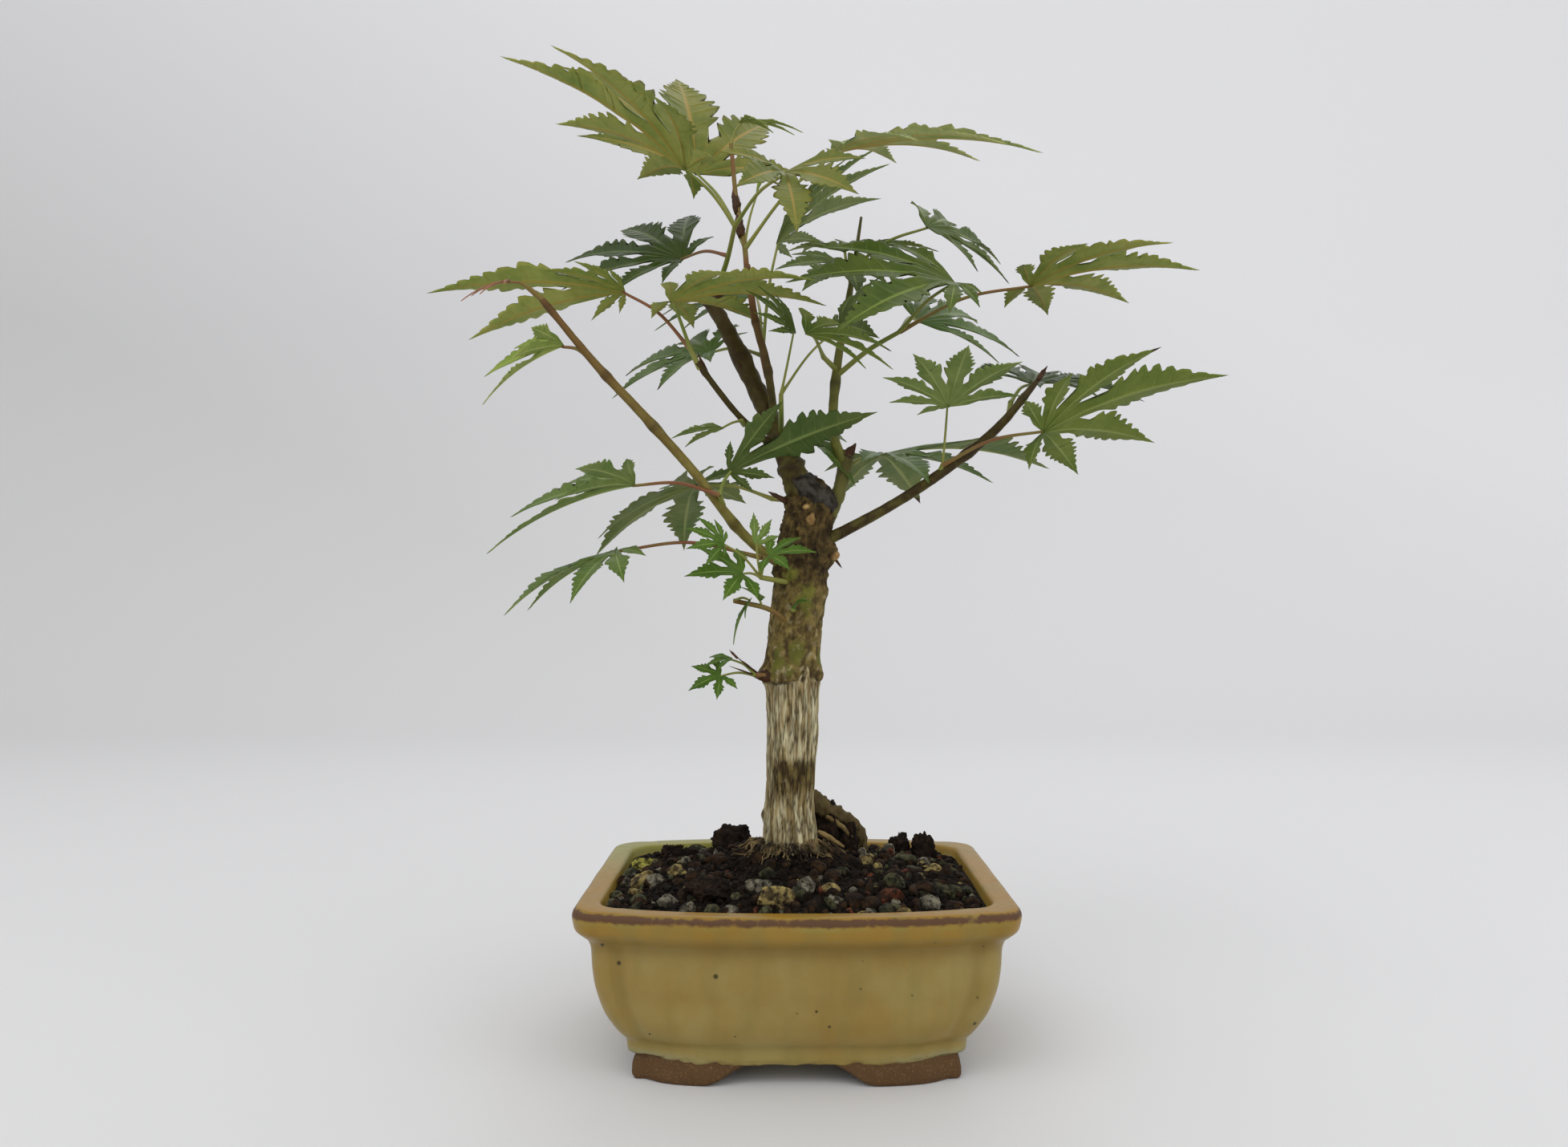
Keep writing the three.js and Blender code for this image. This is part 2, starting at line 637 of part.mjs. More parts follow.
// A closed blade: the outline is shared by both faces, and the midribs lie apart by the thickness.
function blade(spec) {
  const list = lobesOf(spec);
  const foot = vector(spec.foot);
  const positions = [];
  const faces = [];
  const add = (point) => positions.push(point.toArray()) - 1;
  const middleLobe = list[(list.length - 1) / 2];
  const upward = Math.sign(middleLobe.normal.z) || 1;
  const place = (lobe, reach, across) => {
    const arch = bladeArch * 4 * reach * (1 - reach) * lobe.length;
    const sideways = lobe.normal.clone().cross(lobe.along);
    return foot
      .clone()
      .addScaledVector(lobe.along, reach * lobe.length)
      .addScaledVector(sideways, across)
      .addScaledVector(lobe.normal, upward * (arch + bladeFold * Math.abs(across)));
  };
  const pair = (point, normal) => [bladeThickness / 2, -bladeThickness / 2].map(
    (lift) => add(point.clone().addScaledVector(normal, lift)),
  );
  const footPair = pair(foot, middleLobe.normal);
  const back = add(foot.clone().addScaledVector(middleLobe.along, -bladeBack * middleLobe.length));
  const parting = (first, second) => {
    const reach = sinusReach * Math.min(first.length, second.length);
    const along = first.along.clone().add(second.along).normalize();
    const lift = upward * bladeFold * reach;
    return foot.clone().addScaledVector(along, reach).addScaledVector(first.normal, lift);
  };
  const partings = [back];
  for (let i = 0; i + 1 < list.length; i += 1) {
    partings.push(add(parting(list[i], list[i + 1])));
  }
  partings.push(back);
  list.forEach((lobe, i) => {
    const room = wideAt * Math.tan(lobe.step / 2) * lobeSpread;
    const half = Math.min(lobeHalfWidth, room) * lobe.length;
    const tip = add(place(lobe, 1, 0));
    const wide = pair(place(lobe, wideAt, 0), lobe.normal);
    const narrow = pair(place(lobe, narrowAt, 0), lobe.normal);
    for (const hand of [-1, 1]) {
      const wideEdge = add(place(lobe, wideAt, hand * half));
      const narrowEdge = add(place(lobe, narrowAt, hand * half * narrowShare));
      const sinus = hand < 0 ? partings[i] : partings[i + 1];
      for (const skin of [0, 1]) {
        const patches = [
          [footPair[skin], wide[skin], wideEdge],
          [footPair[skin], wideEdge, sinus],
          [wide[skin], narrow[skin], narrowEdge],
          [wide[skin], narrowEdge, wideEdge],
          [narrow[skin], tip, narrowEdge],
        ];
        const outward = (hand > 0) === (skin === 0);
        faces.push(...patches.map((face) => (outward ? face : face.reverse())));
      }
    }
  });
  return solidFromFaces(positions, faces);
}

// A stalk bows up from the stem and runs a little way into the blade.
function stalk(start, spec) {
  const foot = vector(spec.foot);
  const inward = vector(spec.tip).sub(foot);
  const radius = inward.length() < smallBlade ? smallStalkRadius : stalkRadius;
  const end = foot.clone().addScaledVector(inward.normalize(), stalkInBlade);
  const bend = start.clone().lerp(foot, 0.5);
  bend.z += stalkBow * start.distanceTo(foot);
  const points = [start, bend, end].map((point) => point.toArray());
  return limb(points, [radius, radius, radius * stalkTaper], stalkSides);
}

function foliageSolid({ stem, leaves }) {
  const curve = new THREE.CatmullRomCurve3(stem.map(vector), false, 'centripetal');
  const radii = stem.map((point, i) => stemRadius - (stemTaper * i) / stem.length);
  const parts = [limb(stem, radii, stemSides)];
  for (const spec of leaves) {
    parts.push(stalk(curve.getPoint(spec.from), spec), blade(spec));
  }
  return unionOf(parts);
}

// Assembly

function tree() {
  const solids = { trunk: trunk() };
  const fat = { trunk: trunk(clearance) };
  const meshes = [meshFromSolid('trunk', solids.trunk, bark)];
  for (const spec of limbs) {
    let solid = limbSolid(spec);
    for (const other of Object.values(fat)) {
      solid = solid.subtract(other);
    }
    solids[spec.name] = largestBody(solid);
    fat[spec.name] = limbSolid(spec, clearance);
    meshes.push(meshFromSolid(spec.name, solids[spec.name], spec.material));
  }
  for (const group of foliage) {
    let solid = foliageSolid(group);
    for (const other of Object.values(fat)) {
      solid = solid.subtract(other);
    }
    const material = /back|rear|fork/.test(group.name) ? darkLeaf : leafGreen;
    meshes.push(meshFromSolid(group.name, largestBody(solid), material));
  }
  return meshes;
}

const model = new THREE.Group();
model.name = 'potted_maple_bonsai';
model.add(meshFromSolid('pot', pot(), glaze));
model.add(meshFromSolid('soil', soil(), earth));
model.add(...tree());

// The origin is under the middle of the whole plant's box, at the feet.
const box = new THREE.Box3().setFromObject(model);
const middle = box.getCenter(new THREE.Vector3());
model.position.set(-middle.x, -middle.y, -box.min.z);
model.updateMatrixWorld(true);

export default model;
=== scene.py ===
"""A small bonsai maple in a low pot of ochre-glazed stoneware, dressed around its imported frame.

Sizes in the code are millimetres in the pot's own frame: the origin is under the pot's middle, X runs
to the right, Y to the back and +Z up. MeshDraft.build turns them into the frame's metres.
"""

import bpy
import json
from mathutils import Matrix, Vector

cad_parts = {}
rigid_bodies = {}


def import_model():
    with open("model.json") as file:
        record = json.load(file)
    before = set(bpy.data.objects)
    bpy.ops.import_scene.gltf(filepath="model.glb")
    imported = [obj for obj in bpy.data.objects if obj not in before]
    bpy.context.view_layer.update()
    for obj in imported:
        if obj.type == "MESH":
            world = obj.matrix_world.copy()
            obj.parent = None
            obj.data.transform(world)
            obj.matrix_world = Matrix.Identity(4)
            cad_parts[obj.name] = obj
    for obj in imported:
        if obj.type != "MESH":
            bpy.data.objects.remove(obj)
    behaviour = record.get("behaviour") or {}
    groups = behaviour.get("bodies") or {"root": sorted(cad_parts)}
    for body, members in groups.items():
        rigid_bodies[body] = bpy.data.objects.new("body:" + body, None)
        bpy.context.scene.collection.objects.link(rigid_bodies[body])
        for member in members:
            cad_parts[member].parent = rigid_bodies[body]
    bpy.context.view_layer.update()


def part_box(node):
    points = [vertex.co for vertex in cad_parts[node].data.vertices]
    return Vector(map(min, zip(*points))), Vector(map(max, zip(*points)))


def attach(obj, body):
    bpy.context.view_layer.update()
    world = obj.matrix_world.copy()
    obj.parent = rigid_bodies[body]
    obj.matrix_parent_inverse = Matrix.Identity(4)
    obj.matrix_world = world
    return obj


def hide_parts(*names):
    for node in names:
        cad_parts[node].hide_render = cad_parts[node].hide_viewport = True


bl_info = {
    "name": "Potted Maple Bonsai",
    "version": (1, 0, 0),
    "blender": (4, 5, 0),
    "location": "3D View > Sidebar > Maple",
    "description": "Builds a small bonsai maple and its glazed pot around their packed frame",
    "category": "Add Mesh",
}

import json
import math
import random
from collections import namedtuple

import bmesh
import bpy
import numpy as np
from bpy.props import FloatProperty, FloatVectorProperty, IntProperty, PointerProperty
from mathutils import Matrix, Vector, noise

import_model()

MM = 0.001
POT_LOW, POT_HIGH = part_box("pot")
ORIGIN = Vector(((POT_LOW.x + POT_HIGH.x) / 2, (POT_LOW.y + POT_HIGH.y) / 2, POT_LOW.z))
POT_LENGTH = (POT_HIGH.x - POT_LOW.x) / MM
POT_DEPTH = (POT_HIGH.y - POT_LOW.y) / MM
POT_HEIGHT = (POT_HIGH.z - POT_LOW.z) / MM
BODY = "root"

# Pot
CORNER_RADIUS = 10
FRONT_BULGE = 6
BULGE_SHARE = 0.9
BULGE_POWER = 2.6
BELT_POWER = 4.6
CREASE_SHIFT = 1.2
CREASE_WIDTH = 2.0
RIM_WIDTH = 8
INNER_FLOOR = 14
FLOOR_INSET = 22

# Feet
FOOT_REACH = 52.5
FOOT_DEPTH_REACH = 48.4
FOOT_BULGE_END = 48
FOOT_LENGTH = 38.5
FOOT_DEPTH = 28
FOOT_FRONT_WALL = 8
FOOT_SIDE_WALL = 10
FOOT_CORNER = 12

# Soil
SOIL_EDGE = 52.5
SOIL_TOP = 58.5
PLATEAU_RADIUS = 30
PLATEAU_STRETCH = 0.9
MOUND_X, MOUND_TALL, MOUND_NEAR, MOUND_FAR = -2, 5.5, 12, 32  # of soil and fine roots at the trunk
STONE_SINK = 0.35  # of a stone's height that is in the soil

# Trunk: centre line and radius from the soil to the sealed cut, then the surface root
TRUNK_CENTRES = (
    (-2, 0, 57), (-2, 0, 66), (-2, 0, 82), (-1, 0, 107), (-1, 0, 130),
    (1, 0, 151), (3, 0, 169), (5, 0, 185), (5, 0, 194),
)
TRUNK_RADII = (13.5, 10.3, 8.6, 9.2, 9.8, 9.6, 9.6, 9.1, 5.5)
ROOT_PATH = ((2, 2, 85), (9, 7, 78), (16, 11, 74), (23, 15, 68), (25.5, 17, 56))
ROOT_RADII = (3.4, 3.3, 2.8, 2.2, 2)
# All roots that lie bare: path, radii and how far their bark has come off
BARE_ROOTS = (
    (ROOT_PATH, ROOT_RADII, 0.0),
    (((8, -3, 71), (12, -4.5, 69), (17, -6, 66)), (0.6, 1.0, 0.4), 0.4),
    (((11, 4, 75), (16, 6, 71.5), (20.5, 8, 66.5)), (0.7, 1.0, 0.7), 0.2),
    (((10, 0, 66), (14, -6, 62), (19, -9, 58)), (1.8, 1.3, 0.8), 0.1),
)
ROOTLETS = 110
HANGING_ROOTLETS = 18

# Limbs: name, path, radii, bark and the heights of their nodes as shares of their length
Limb = namedtuple("Limb", "name path radii bark nodes")
LIMBS = (
    Limb(
        "leader",
        ((3, 0, 189), (-2.6, 0, 202.5), (-9.4, 2, 218), (-22, 5, 245), (-31, 8, 262)),
        (5.6, 4.1, 3.5, 3, 2.6), "brown", (0.2, 0.36, 0.7, 0.97),
    ),
    Limb(
        "apex_shoot",
        ((-7, 0, 213), (-10, -6, 235), (-14, -8, 250), (-17, -8, 270)),
        (1.5, 1.4, 1.3, 1.1), "dusky", (0.3, 0.66, 0.96),
    ),
    Limb(
        "left_shoot",
        ((-8, 0, 207), (-20, -8, 217), (-34, -16, 234)),
        (1.3, 1.1, 1), "brown", (0.1, 0.9),
    ),
    Limb(
        "left_bough",
        ((-3, 0, 163), (-18, -9, 175), (-34, -20, 195), (-51, -25, 214), (-66, -26, 230), (-86, -26, 254)),
        (1.8, 1.7, 1.6, 1.6, 1.4, 1), "olive", (0.24, 0.56, 0.77, 0.97),
    ),
    Limb(
        "right_bough",
        ((6, 0, 171), (31, -4, 184), (50, -10, 196), (69, -14, 211), (82, -12, 226), (87, -10, 232)),
        (2.3, 1.8, 1.8, 1.6, 1.1, 0.6), "brown", (0.5, 0.74, 0.92),
    ),
    Limb(
        "cut_stub",
        ((10, 3, 178), (16, 5, 192), (19, 8, 206)),
        (2.8, 2.5, 2.4), "green", (0.95,),
    ),
    Limb(
        "middle_shoot",
        ((18, 7, 201), (14, 6, 212), (15, 3, 235), (20, 12, 264), (22, 16, 276), (25, 20, 296)),
        (1.9, 1.8, 1.6, 1.2, 0.9, 0.5), "green", (0.36, 0.72),
    ),
)

# Leaves
LOBE_STEP = math.radians(37)
LOBE_REACH = (1, 0.86, 0.64, 0.38)  # lobe lengths, out from the middle one
SHORTEST_LOBE = 0.18
LONGEST_LOBE = 1.1
LOBE_HALF_WIDTH = 0.195
LOBE_SPREAD = 1.05
SINUS_REACH = 0.3
WIDE_AT = 0.48
BLADE_ARCH = 0.07
BLADE_FOLD = 0.25
STALK_RADIUS = 0.64
SMALL_STALK_RADIUS = 0.45
STALK_BOW = 0.08
STALK_IN_BLADE = 1
SMALL_BLADE = 32
STEM_RADIUS = 1.05
STEM_TAPER = 0.35

Leaf = namedtuple("Leaf", "foot tip side lobes start rest droops tint stalk")


def leaf(foot, tip, side, lobes=7, start=1, rest=1, droops=False, tint="crown", stalk="green"):
    """One leaf: its blade's foot, the tip of its longest lobe and of a lobe beside it.

    start is how far up the group's stem its stalk leaves, and rest the share of their usual length
    that its unnamed lobes have.
    """
    return Leaf(foot, tip, side, lobes, start, rest, droops, tint, stalk)


FOLIAGE = {
    "foliage_top_left": (
        ((-31, 8, 260), (-25, 0, 272), (-21, -14, 282)),
        leaf((-38, -16, 301), (-99, -30, 334), (-44, -64, 306)),
        leaf((-4, -40, 291), (0, -68, 262), (22, -50, 292), lobes=5, droops=True, tint="olive"),
        leaf((-42, 20, 280), (-91, 45, 286), (-42, 58, 309), start=0.6, tint="dark", stalk="red"),
    ),
    "foliage_top_right": (
        ((-17, -8, 267), (-18, -5, 278), (-21, -2, 295), (-23, 0, 316)),
        leaf((-37, 22, 313), (-49, 66, 369), (-101, 48, 372), lobes=5, start=0.35, tint="olive"),
        leaf((13, -15, 307), (86, -15, 307), (69, 14, 315), start=0.3, tint="pale"),
        leaf((-20, 0, 324), (3, -5, 318), (-10, -8, 320), lobes=5, tint="lime"),
        leaf((-14, -1, 297), (-7, -7, 308), (-12, 6, 307), lobes=3, start=0.35, tint="lime"),
    ),
    "foliage_back": (
        ((-10, -5, 231), (-12, 6, 241)),
        leaf((-7, 40, 292), (40, 62, 332), (38, 84, 325), tint="shade"),
        leaf((-14, 40, 272), (-56, 72, 271), (-40, 84, 284), lobes=5, tint="shade"),
        leaf((-32, 25, 246), (-68, 52, 242), (-50, 5, 228), tint="shade"),
    ),
    "foliage_left_high": (
        ((-33, -15, 232), (-36, -18, 238)),
        leaf((-60, -6, 261), (-131, -4, 261), (-123, 22, 250), rest=0.5, stalk="red"),
        leaf((-42, -28, 252), (11, -14, 254), (6, -44, 255)),
    ),
    "foliage_centre": (
        ((-5, 0, 211), (-5, -12, 216), (-5, -16, 223)),
        leaf((0, -25, 242), (-17, -36, 254), (-14, -38, 246), lobes=5, tint="green"),
        leaf((15, -18, 246), (36, -28, 260), (27, -44, 236), tint="green"),
    ),
    "foliage_left_tip": (
        ((-85, -26, 253), (-90, -28, 257)),
        leaf((-95, -31, 258), (-110, -36, 250), (-109, -27, 254), lobes=5, tint="red", stalk="red"),
    ),
    "foliage_left_bough": (
        ((-66, -26, 230), (-70, -26, 234)),
        leaf(
            (-78, -25, 238), (-103, -35, 216), (-92, -42, 230),
            lobes=5, droops=True, tint="lime", stalk="red",
        ),
    ),
    "foliage_left_low": (
        ((-25, -14, 185), (-26, -19, 188)),
        leaf((-54, -25, 191), (-101, -37, 167), (-77, -45, 184), droops=True, tint="low", stalk="red"),
        leaf((-23, -18, 196), (28, -22, 216), (-22, -24, 206), lobes=5, rest=0.35, tint="dark"),
    ),
    "foliage_left_rear": (
        ((2, 4, 188), (-8, 8, 189)),
        leaf((-37, 12, 194), (-76, 30, 169), (-44, 52, 172), droops=True, tint="shade"),
    ),
    "foliage_left_front": (
        ((-2, -2, 165), (-12, -12, 167)),
        leaf((-61, -20, 169), (-95, -38, 147), (-72, -46, 151), droops=True, tint="low", stalk="red"),
    ),
    "foliage_fork": (
        ((-4, 4, 209), (-3, 9, 212)),
        leaf((-2, 12, 217), (22, 4, 193), (20, 26, 212), lobes=3, rest=0.4, tint="shade"),
    ),
    "foliage_middle_top": (
        ((21, 15, 270), (20, 16, 274)),
        leaf((18, 16, 282), (48, 48, 291), (-3, 30, 286), tint="green"),
        leaf((19, 10, 275), (2, -14, 259), (22, -12, 258), lobes=5, tint="green"),
        leaf((50, 25, 294), (84, 55, 288), (46, 45, 310), lobes=5, tint="green"),
    ),
    "foliage_middle_right": (
        ((15, 3, 233), (26, -3, 241), (37, -6, 247)),
        leaf((54, -22, 260), (11, -60, 234), (34, -5, 278), rest=0.45, tint="green"),
        leaf((82, -10, 262), (141, -12, 267), (125, 18, 263), stalk="red"),
        leaf((47, 30, 259), (78, 76, 269), (92, 58, 251), lobes=5, tint="shade"),
    ),
    "foliage_middle_left": (
        ((15, 3, 235), (10, -5, 238)),
        leaf((3, -38, 239), (29, -62, 228), (13, -64, 236), lobes=5, tint="green"),
    ),
    "foliage_right_mid": (
        ((50, -10, 196), (51, -12, 199)),
        leaf((52, -20, 218), (37, -45, 231), (75, -30, 220), tint="low"),
        leaf((82, -30, 208), (142, -35, 226), (86, -55, 223), rest=0.9, tint="green", stalk="red"),
    ),
    "foliage_right_tip": (
        ((74, -13, 217), (75, -10, 221)),
        leaf((86, 8, 231), (126, 34, 232), (71, 40, 242), tint="dark"),
    ),
    "foliage_right_rear": (
        ((17, 6, 199), (21, 9, 202)),
        leaf((32, 15, 206), (101, 45, 204), (71, 1, 194), rest=0.8, droops=True, tint="shade"),
    ),
    "foliage_trunk": (
        ((0, -4, 158), (-12, -17, 160)),
        leaf((-24, -28, 171), (-37, -34, 176), (-30, -38, 163), tint="fresh"),
        leaf((-18, -24, 161), (-37, -32, 160), (-24, -36, 152), lobes=5, tint="fresh"),
        leaf((-9, -26, 167), (7, -30, 168), (-2, -36, 162), lobes=5, tint="fresh"),
        leaf((-14, -18, 171), (-8, -20, 180), (-20, -18, 179), lobes=3, tint="fresh"),
    ),
    "foliage_stub": (
        ((0, -3, 142), (-9, -14, 149), (-21, -20, 152)),
        leaf((-15, -21, 153), (-21, -24, 137), (-17, -26, 146), lobes=3, tint="fresh"),
        leaf((-12, -18, 152), (-17, -24, 157), (-12, -26, 154), lobes=3, start=0.6, tint="fresh"),
    ),
    "foliage_low_sprout": (
        ((-4, -3, 126), (-14, -8, 126)),
        leaf((-26, -9, 126), (-37, -14, 121), (-27, -16, 118), lobes=5, tint="fresh"),
        leaf((-22, -8, 132), (-32, -10, 129), (-27, -14, 128), lobes=3, tint="fresh"),
    ),
    "foliage_bud": (
        ((0, -3, 148), (-1, -12, 149)),
        leaf((-1, -13, 150), (5, -17, 152), (0, -19, 149), lobes=3, tint="fresh"),
    ),
    "withered_leaf": (
        ((-18, -6, 214), (-19, -9, 215)),
        leaf((-25, -11, 212), (-43, -14, 208), (-33, -17, 212), lobes=3, tint="low"),
    ),
}

RED_STEMS = (
    "foliage_top_right", "foliage_back", "foliage_left_tip", "foliage_left_bough", "foliage_stub",
    "foliage_low_sprout", "foliage_left_front",
)

# The pieces that the leaf blades are joined into, and the groups of leaves in each
LEAF_PIECES = {
    "leaves_top": ("foliage_top_left", "foliage_top_right", "foliage_back"),
    "leaves_left": (
        "foliage_left_high", "foliage_left_tip", "foliage_left_bough", "foliage_left_low",
        "foliage_left_rear", "foliage_left_front", "withered_leaf",
    ),
    "leaves_middle": (
        "foliage_centre", "foliage_fork", "foliage_middle_top", "foliage_middle_right",
        "foliage_middle_left",
    ),
    "leaves_right": ("foliage_right_mid", "foliage_right_tip", "foliage_right_rear"),
    "leaves_trunk": ("foliage_trunk", "foliage_stub", "foliage_low_sprout", "foliage_bud"),
}

# Leaf colours by tint: upper side, underside, veins above and veins below. The undersides are partly
# painted light: lighter than their own paler green, as if lit through the leaf
LEAF_TINTS = {
    "crown": ("5e7028", "8c9448", "8f8f3e", "a08a3c"),
    # The pale tint's underside is painted light, as if lit up from the floor and through the leaf
    "pale": ("6a7c38", "b6bc7a", "9fa05c", "bca058"),
    "olive": ("6c702c", "757a34", "8f7c36", "8f7c36"),
    "shade": ("546a30", "6c7a46", "74864a", "8b9558"),
    "green": ("4a5a1e", "66752f", "70803a", "848f4a"),
    "fresh": ("4a6620", "627a38", "748c44", "8a9c58"),
    "low": ("5c7034", "728446", "7f8f4e", "93a05f"),
    "dark": ("34460a", "4a5a28", "56662a", "6c7a40"),
    "lime": ("7c9038", "8f9c50", "95a652", "a8ae64"),
    "red": ("8f5a42", "a5755a", "a06a4c", "ac7c5c"),
}


def colour(code):
    """An sRGB hex colour as the linear colour that Blender's sockets take."""
    shares = [int(code[i : i + 2], 16) / 255 for i in (0, 2, 4)]
    linear = [s / 12.92 if s <= 0.04045 else ((s + 0.055) / 1.055) ** 2.4 for s in shares]
    return (*linear, 1)


def add_node(tree, kind, inputs=None, **settings):
    """Adds a node with its settings, and fills its inputs with values or other nodes' outputs."""
    made = tree.nodes.new(kind)
    for name, value in settings.items():
        setattr(made, name, value)
    for key, value in (inputs or {}).items():
        if isinstance(value, bpy.types.NodeSocket):
            tree.links.new(value, made.inputs[key])
        else:
            made.inputs[key].default_value = value
    return made


def start_material(name, roughness, specular=0.2, **sockets):
    """A new material with its tree, its shader, whose plain sockets are set by name, and the piece's
    Object coordinates."""
    material = bpy.data.materials.new(name)
    material.use_nodes = True
    tree = material.node_tree
    shader = tree.nodes["Principled BSDF"]
    for socket, value in {"Roughness": roughness, "Specular IOR Level": specular, **sockets}.items():
        shader.inputs[socket.replace("_", " ")].default_value = value
    return material, tree, shader, add_node(tree, "ShaderNodeTexCoord").outputs["Object"]


def patchwork(tree, place, scale, detail, low, high, most=1, **inputs):
    """A noise pattern, and the share of its patches, which rises to most between two levels."""
    inputs = {"Vector": place, "Scale": scale, "Detail": detail, **inputs}
    pattern = add_node(tree, "ShaderNodeTexNoise", inputs).outputs["Fac"]
    share = add_node(tree, "ShaderNodeMapRange", {0: pattern, 1: low, 2: high, 4: most})
    return pattern, share.outputs[0]


def finish_surface(tree, shader, tone, layers, bump=()):
    """Lays colours over a tone, each by its share, and gives the shader the result and its relief.

    A share is a socket or the name of one of the piece's point values. A colour is a hex code, a
    linear colour or a socket. bump is its strength, its distance in metres and its height.
    """
    for share, over in layers:
        if isinstance(share, str):
            share = add_node(tree, "ShaderNodeAttribute", attribute_name=share).outputs["Fac"]
        over = colour(over) if isinstance(over, str) else over
        tone = add_node(tree, "ShaderNodeMix", {0: share, 6: tone, 7: over}, data_type="RGBA").outputs[2]
    tree.links.new(tone, shader.inputs["Base Color"])
    if bump:
        inputs = dict(zip(("Strength", "Distance", "Height"), bump))
        tree.links.new(add_node(tree, "ShaderNodeBump", inputs).outputs[0], shader.inputs["Normal"])


def tone_property(name, description, code):
    """A colour that a user can change."""
    return FloatVectorProperty(
        name=name, description=description, subtype="COLOR", size=4, default=colour(code), min=0, max=1
    )


class MeshDraft:
    """Collects the points, faces, material numbers and point values of one piece, in millimetres."""

    def __init__(self, *values):
        self.points = []
        self.faces = []
        self.slots = []
        self.values = {name: [] for name in values}

    def add(self, points, faces, slot=0, **values):
        """Adds points and the faces between them. A value is a number or one for each point."""
        first = len(self.points)
        self.points.extend(tuple(point) for point in points)
        self.faces.extend(tuple(first + corner for corner in face) for face in faces)
        self.slots.extend([slot] * len(faces) if isinstance(slot, int) else slot)
        for name, listed in self.values.items():
            given = values.get(name, 0.0)
            listed.extend(given if isinstance(given, (list, tuple)) else [given] * len(points))

    def add_rings(self, rings, slot=0, **values):
        """Adds a closed tube through rings of equal size, with a fan of faces at each end."""
        count = len(rings[0])
        points = [point for ring in rings for point in ring]
        faces = []
        for level in range(len(rings) - 1):
            for i in range(count):
                a, b = level * count + i, level * count + (i + 1) % count
                faces.append((a, b, b + count, a + count))
        last = (len(rings) - 1) * count
        for ring in (rings[0], rings[-1]):
            points.append(sum((Vector(point) for point in ring), Vector()) / count)
        for i in range(count):
            after = (i + 1) % count
            faces.append((last + count, after, i))
            faces.append((last + count + 1, last + i, last + after))
        values = {
            name: list(given) + [given[0], given[-1]] if isinstance(given, (list, tuple)) else given
            for name, given in values.items()
        }
        self.add(points, faces, slot, **values)

    def build(self, name, materials, merge=0.0):
        """Makes the piece: an object at the origin, with its place in its mesh."""
        mesh = bpy.data.meshes.new(name)
        points = np.array(self.points, float) * MM + np.array(ORIGIN)
        mesh.from_pydata(points.tolist(), [], self.faces)
        for material in materials:
            mesh.materials.append(material)
        mesh.polygons.foreach_set("material_index", self.slots)
        mesh.polygons.foreach_set("use_smooth", [True] * len(self.faces))
        for value_name, listed in self.values.items():
            attribute = mesh.attributes.new(value_name, "FLOAT", "POINT")
            attribute.data.foreach_set("value", np.array(listed, np.float32))
        form = bmesh.new()
        form.from_mesh(mesh)
        if merge:
            bmesh.ops.remove_doubles(form, verts=form.verts, dist=merge * MM)
        bmesh.ops.recalc_face_normals(form, faces=form.faces)
        form.to_mesh(mesh)
        form.free()
        piece = bpy.data.objects.new(name, mesh)
        bpy.context.collection.objects.link(piece)
        return piece


def seat(piece, slot, *nodes):
    """Sets a finished piece on the plant's body, in place of the CAD nodes that it stands for."""
    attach(piece, BODY)
    if nodes:
        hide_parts(*nodes)


def grow(piece, tree, **values):
    """Runs a Geometry Nodes tree on a piece and keeps the result as its plain mesh.

    The tree's named inputs are set by their identifiers, and the modifier is removed.
    """
    modifier = piece.modifiers.new(tree.name, "NODES")
    modifier.node_group = tree
    for item in tree.interface.items_tree:
        if item.item_type == "SOCKET" and item.name.lower() in values:
            modifier[item.identifier] = values[item.name.lower()]
    bpy.context.view_layer.update()
    graph = bpy.context.evaluated_depsgraph_get()
    mesh = bpy.data.meshes.new_from_object(piece.evaluated_get(graph))
    piece.modifiers.remove(modifier)
    piece.data = mesh


def start_shape_tree(name, **inputs):
    """A Geometry Nodes tree with named inputs of these kinds, and their sockets."""
    tree = bpy.data.node_groups.new(name, "GeometryNodeTree")
    for label, kind in inputs.items():
        tree.interface.new_socket(label, in_out="INPUT", socket_type=f"NodeSocket{kind}")
    tree.interface.new_socket("Shape", in_out="OUTPUT", socket_type="NodeSocketGeometry")
    return tree, add_node(tree, "NodeGroupInput").outputs


def finish_shape_tree(tree, shape, material):
    """Ends a Geometry Nodes tree: its instances are made real and their material is set."""
    real = add_node(tree, "GeometryNodeRealizeInstances", {0: shape}).outputs[0]
    finished = add_node(tree, "GeometryNodeSetMaterial", {"Geometry": real, "Material": material})
    add_node(tree, "NodeGroupOutput", {0: finished.outputs[0]})


def curve_points(points, per_span):
    """A centripetal Catmull-Rom curve through the points, with this many steps in each span."""
    line = [Vector(point) for point in points]
    line = [2 * line[0] - line[1], *line, 2 * line[-1] - line[-2]]
    made = []
    for i in range(1, len(line) - 2):
        before, start, end, after = line[i - 1 : i + 3]
        d0, d1, d2 = (math.sqrt((b - a).length) for a, b in ((before, start), (start, end), (end, after)))
        leave = ((start - before) / d0 - (end - before) / (d0 + d1) + (end - start) / d1) * d1
        arrive = ((end - start) / d1 - (after - start) / (d1 + d2) + (after - end) / d2) * d1
        for step in range(per_span):
            t = step / per_span
            made.append(
                start * (2 * t**3 - 3 * t**2 + 1)
                + leave * (t**3 - 2 * t**2 + t)
                + end * (3 * t**2 - 2 * t**3)
                + arrive * (t**3 - t**2)
            )
    made.append(line[-2])
    return made


def spread(values, per_span):
    """Values at the same steps as curve_points, in a straight line from each to the next."""
    steps = np.arange((len(values) - 1) * per_span + 1) / per_span
    return list(np.interp(steps, range(len(values)), values))


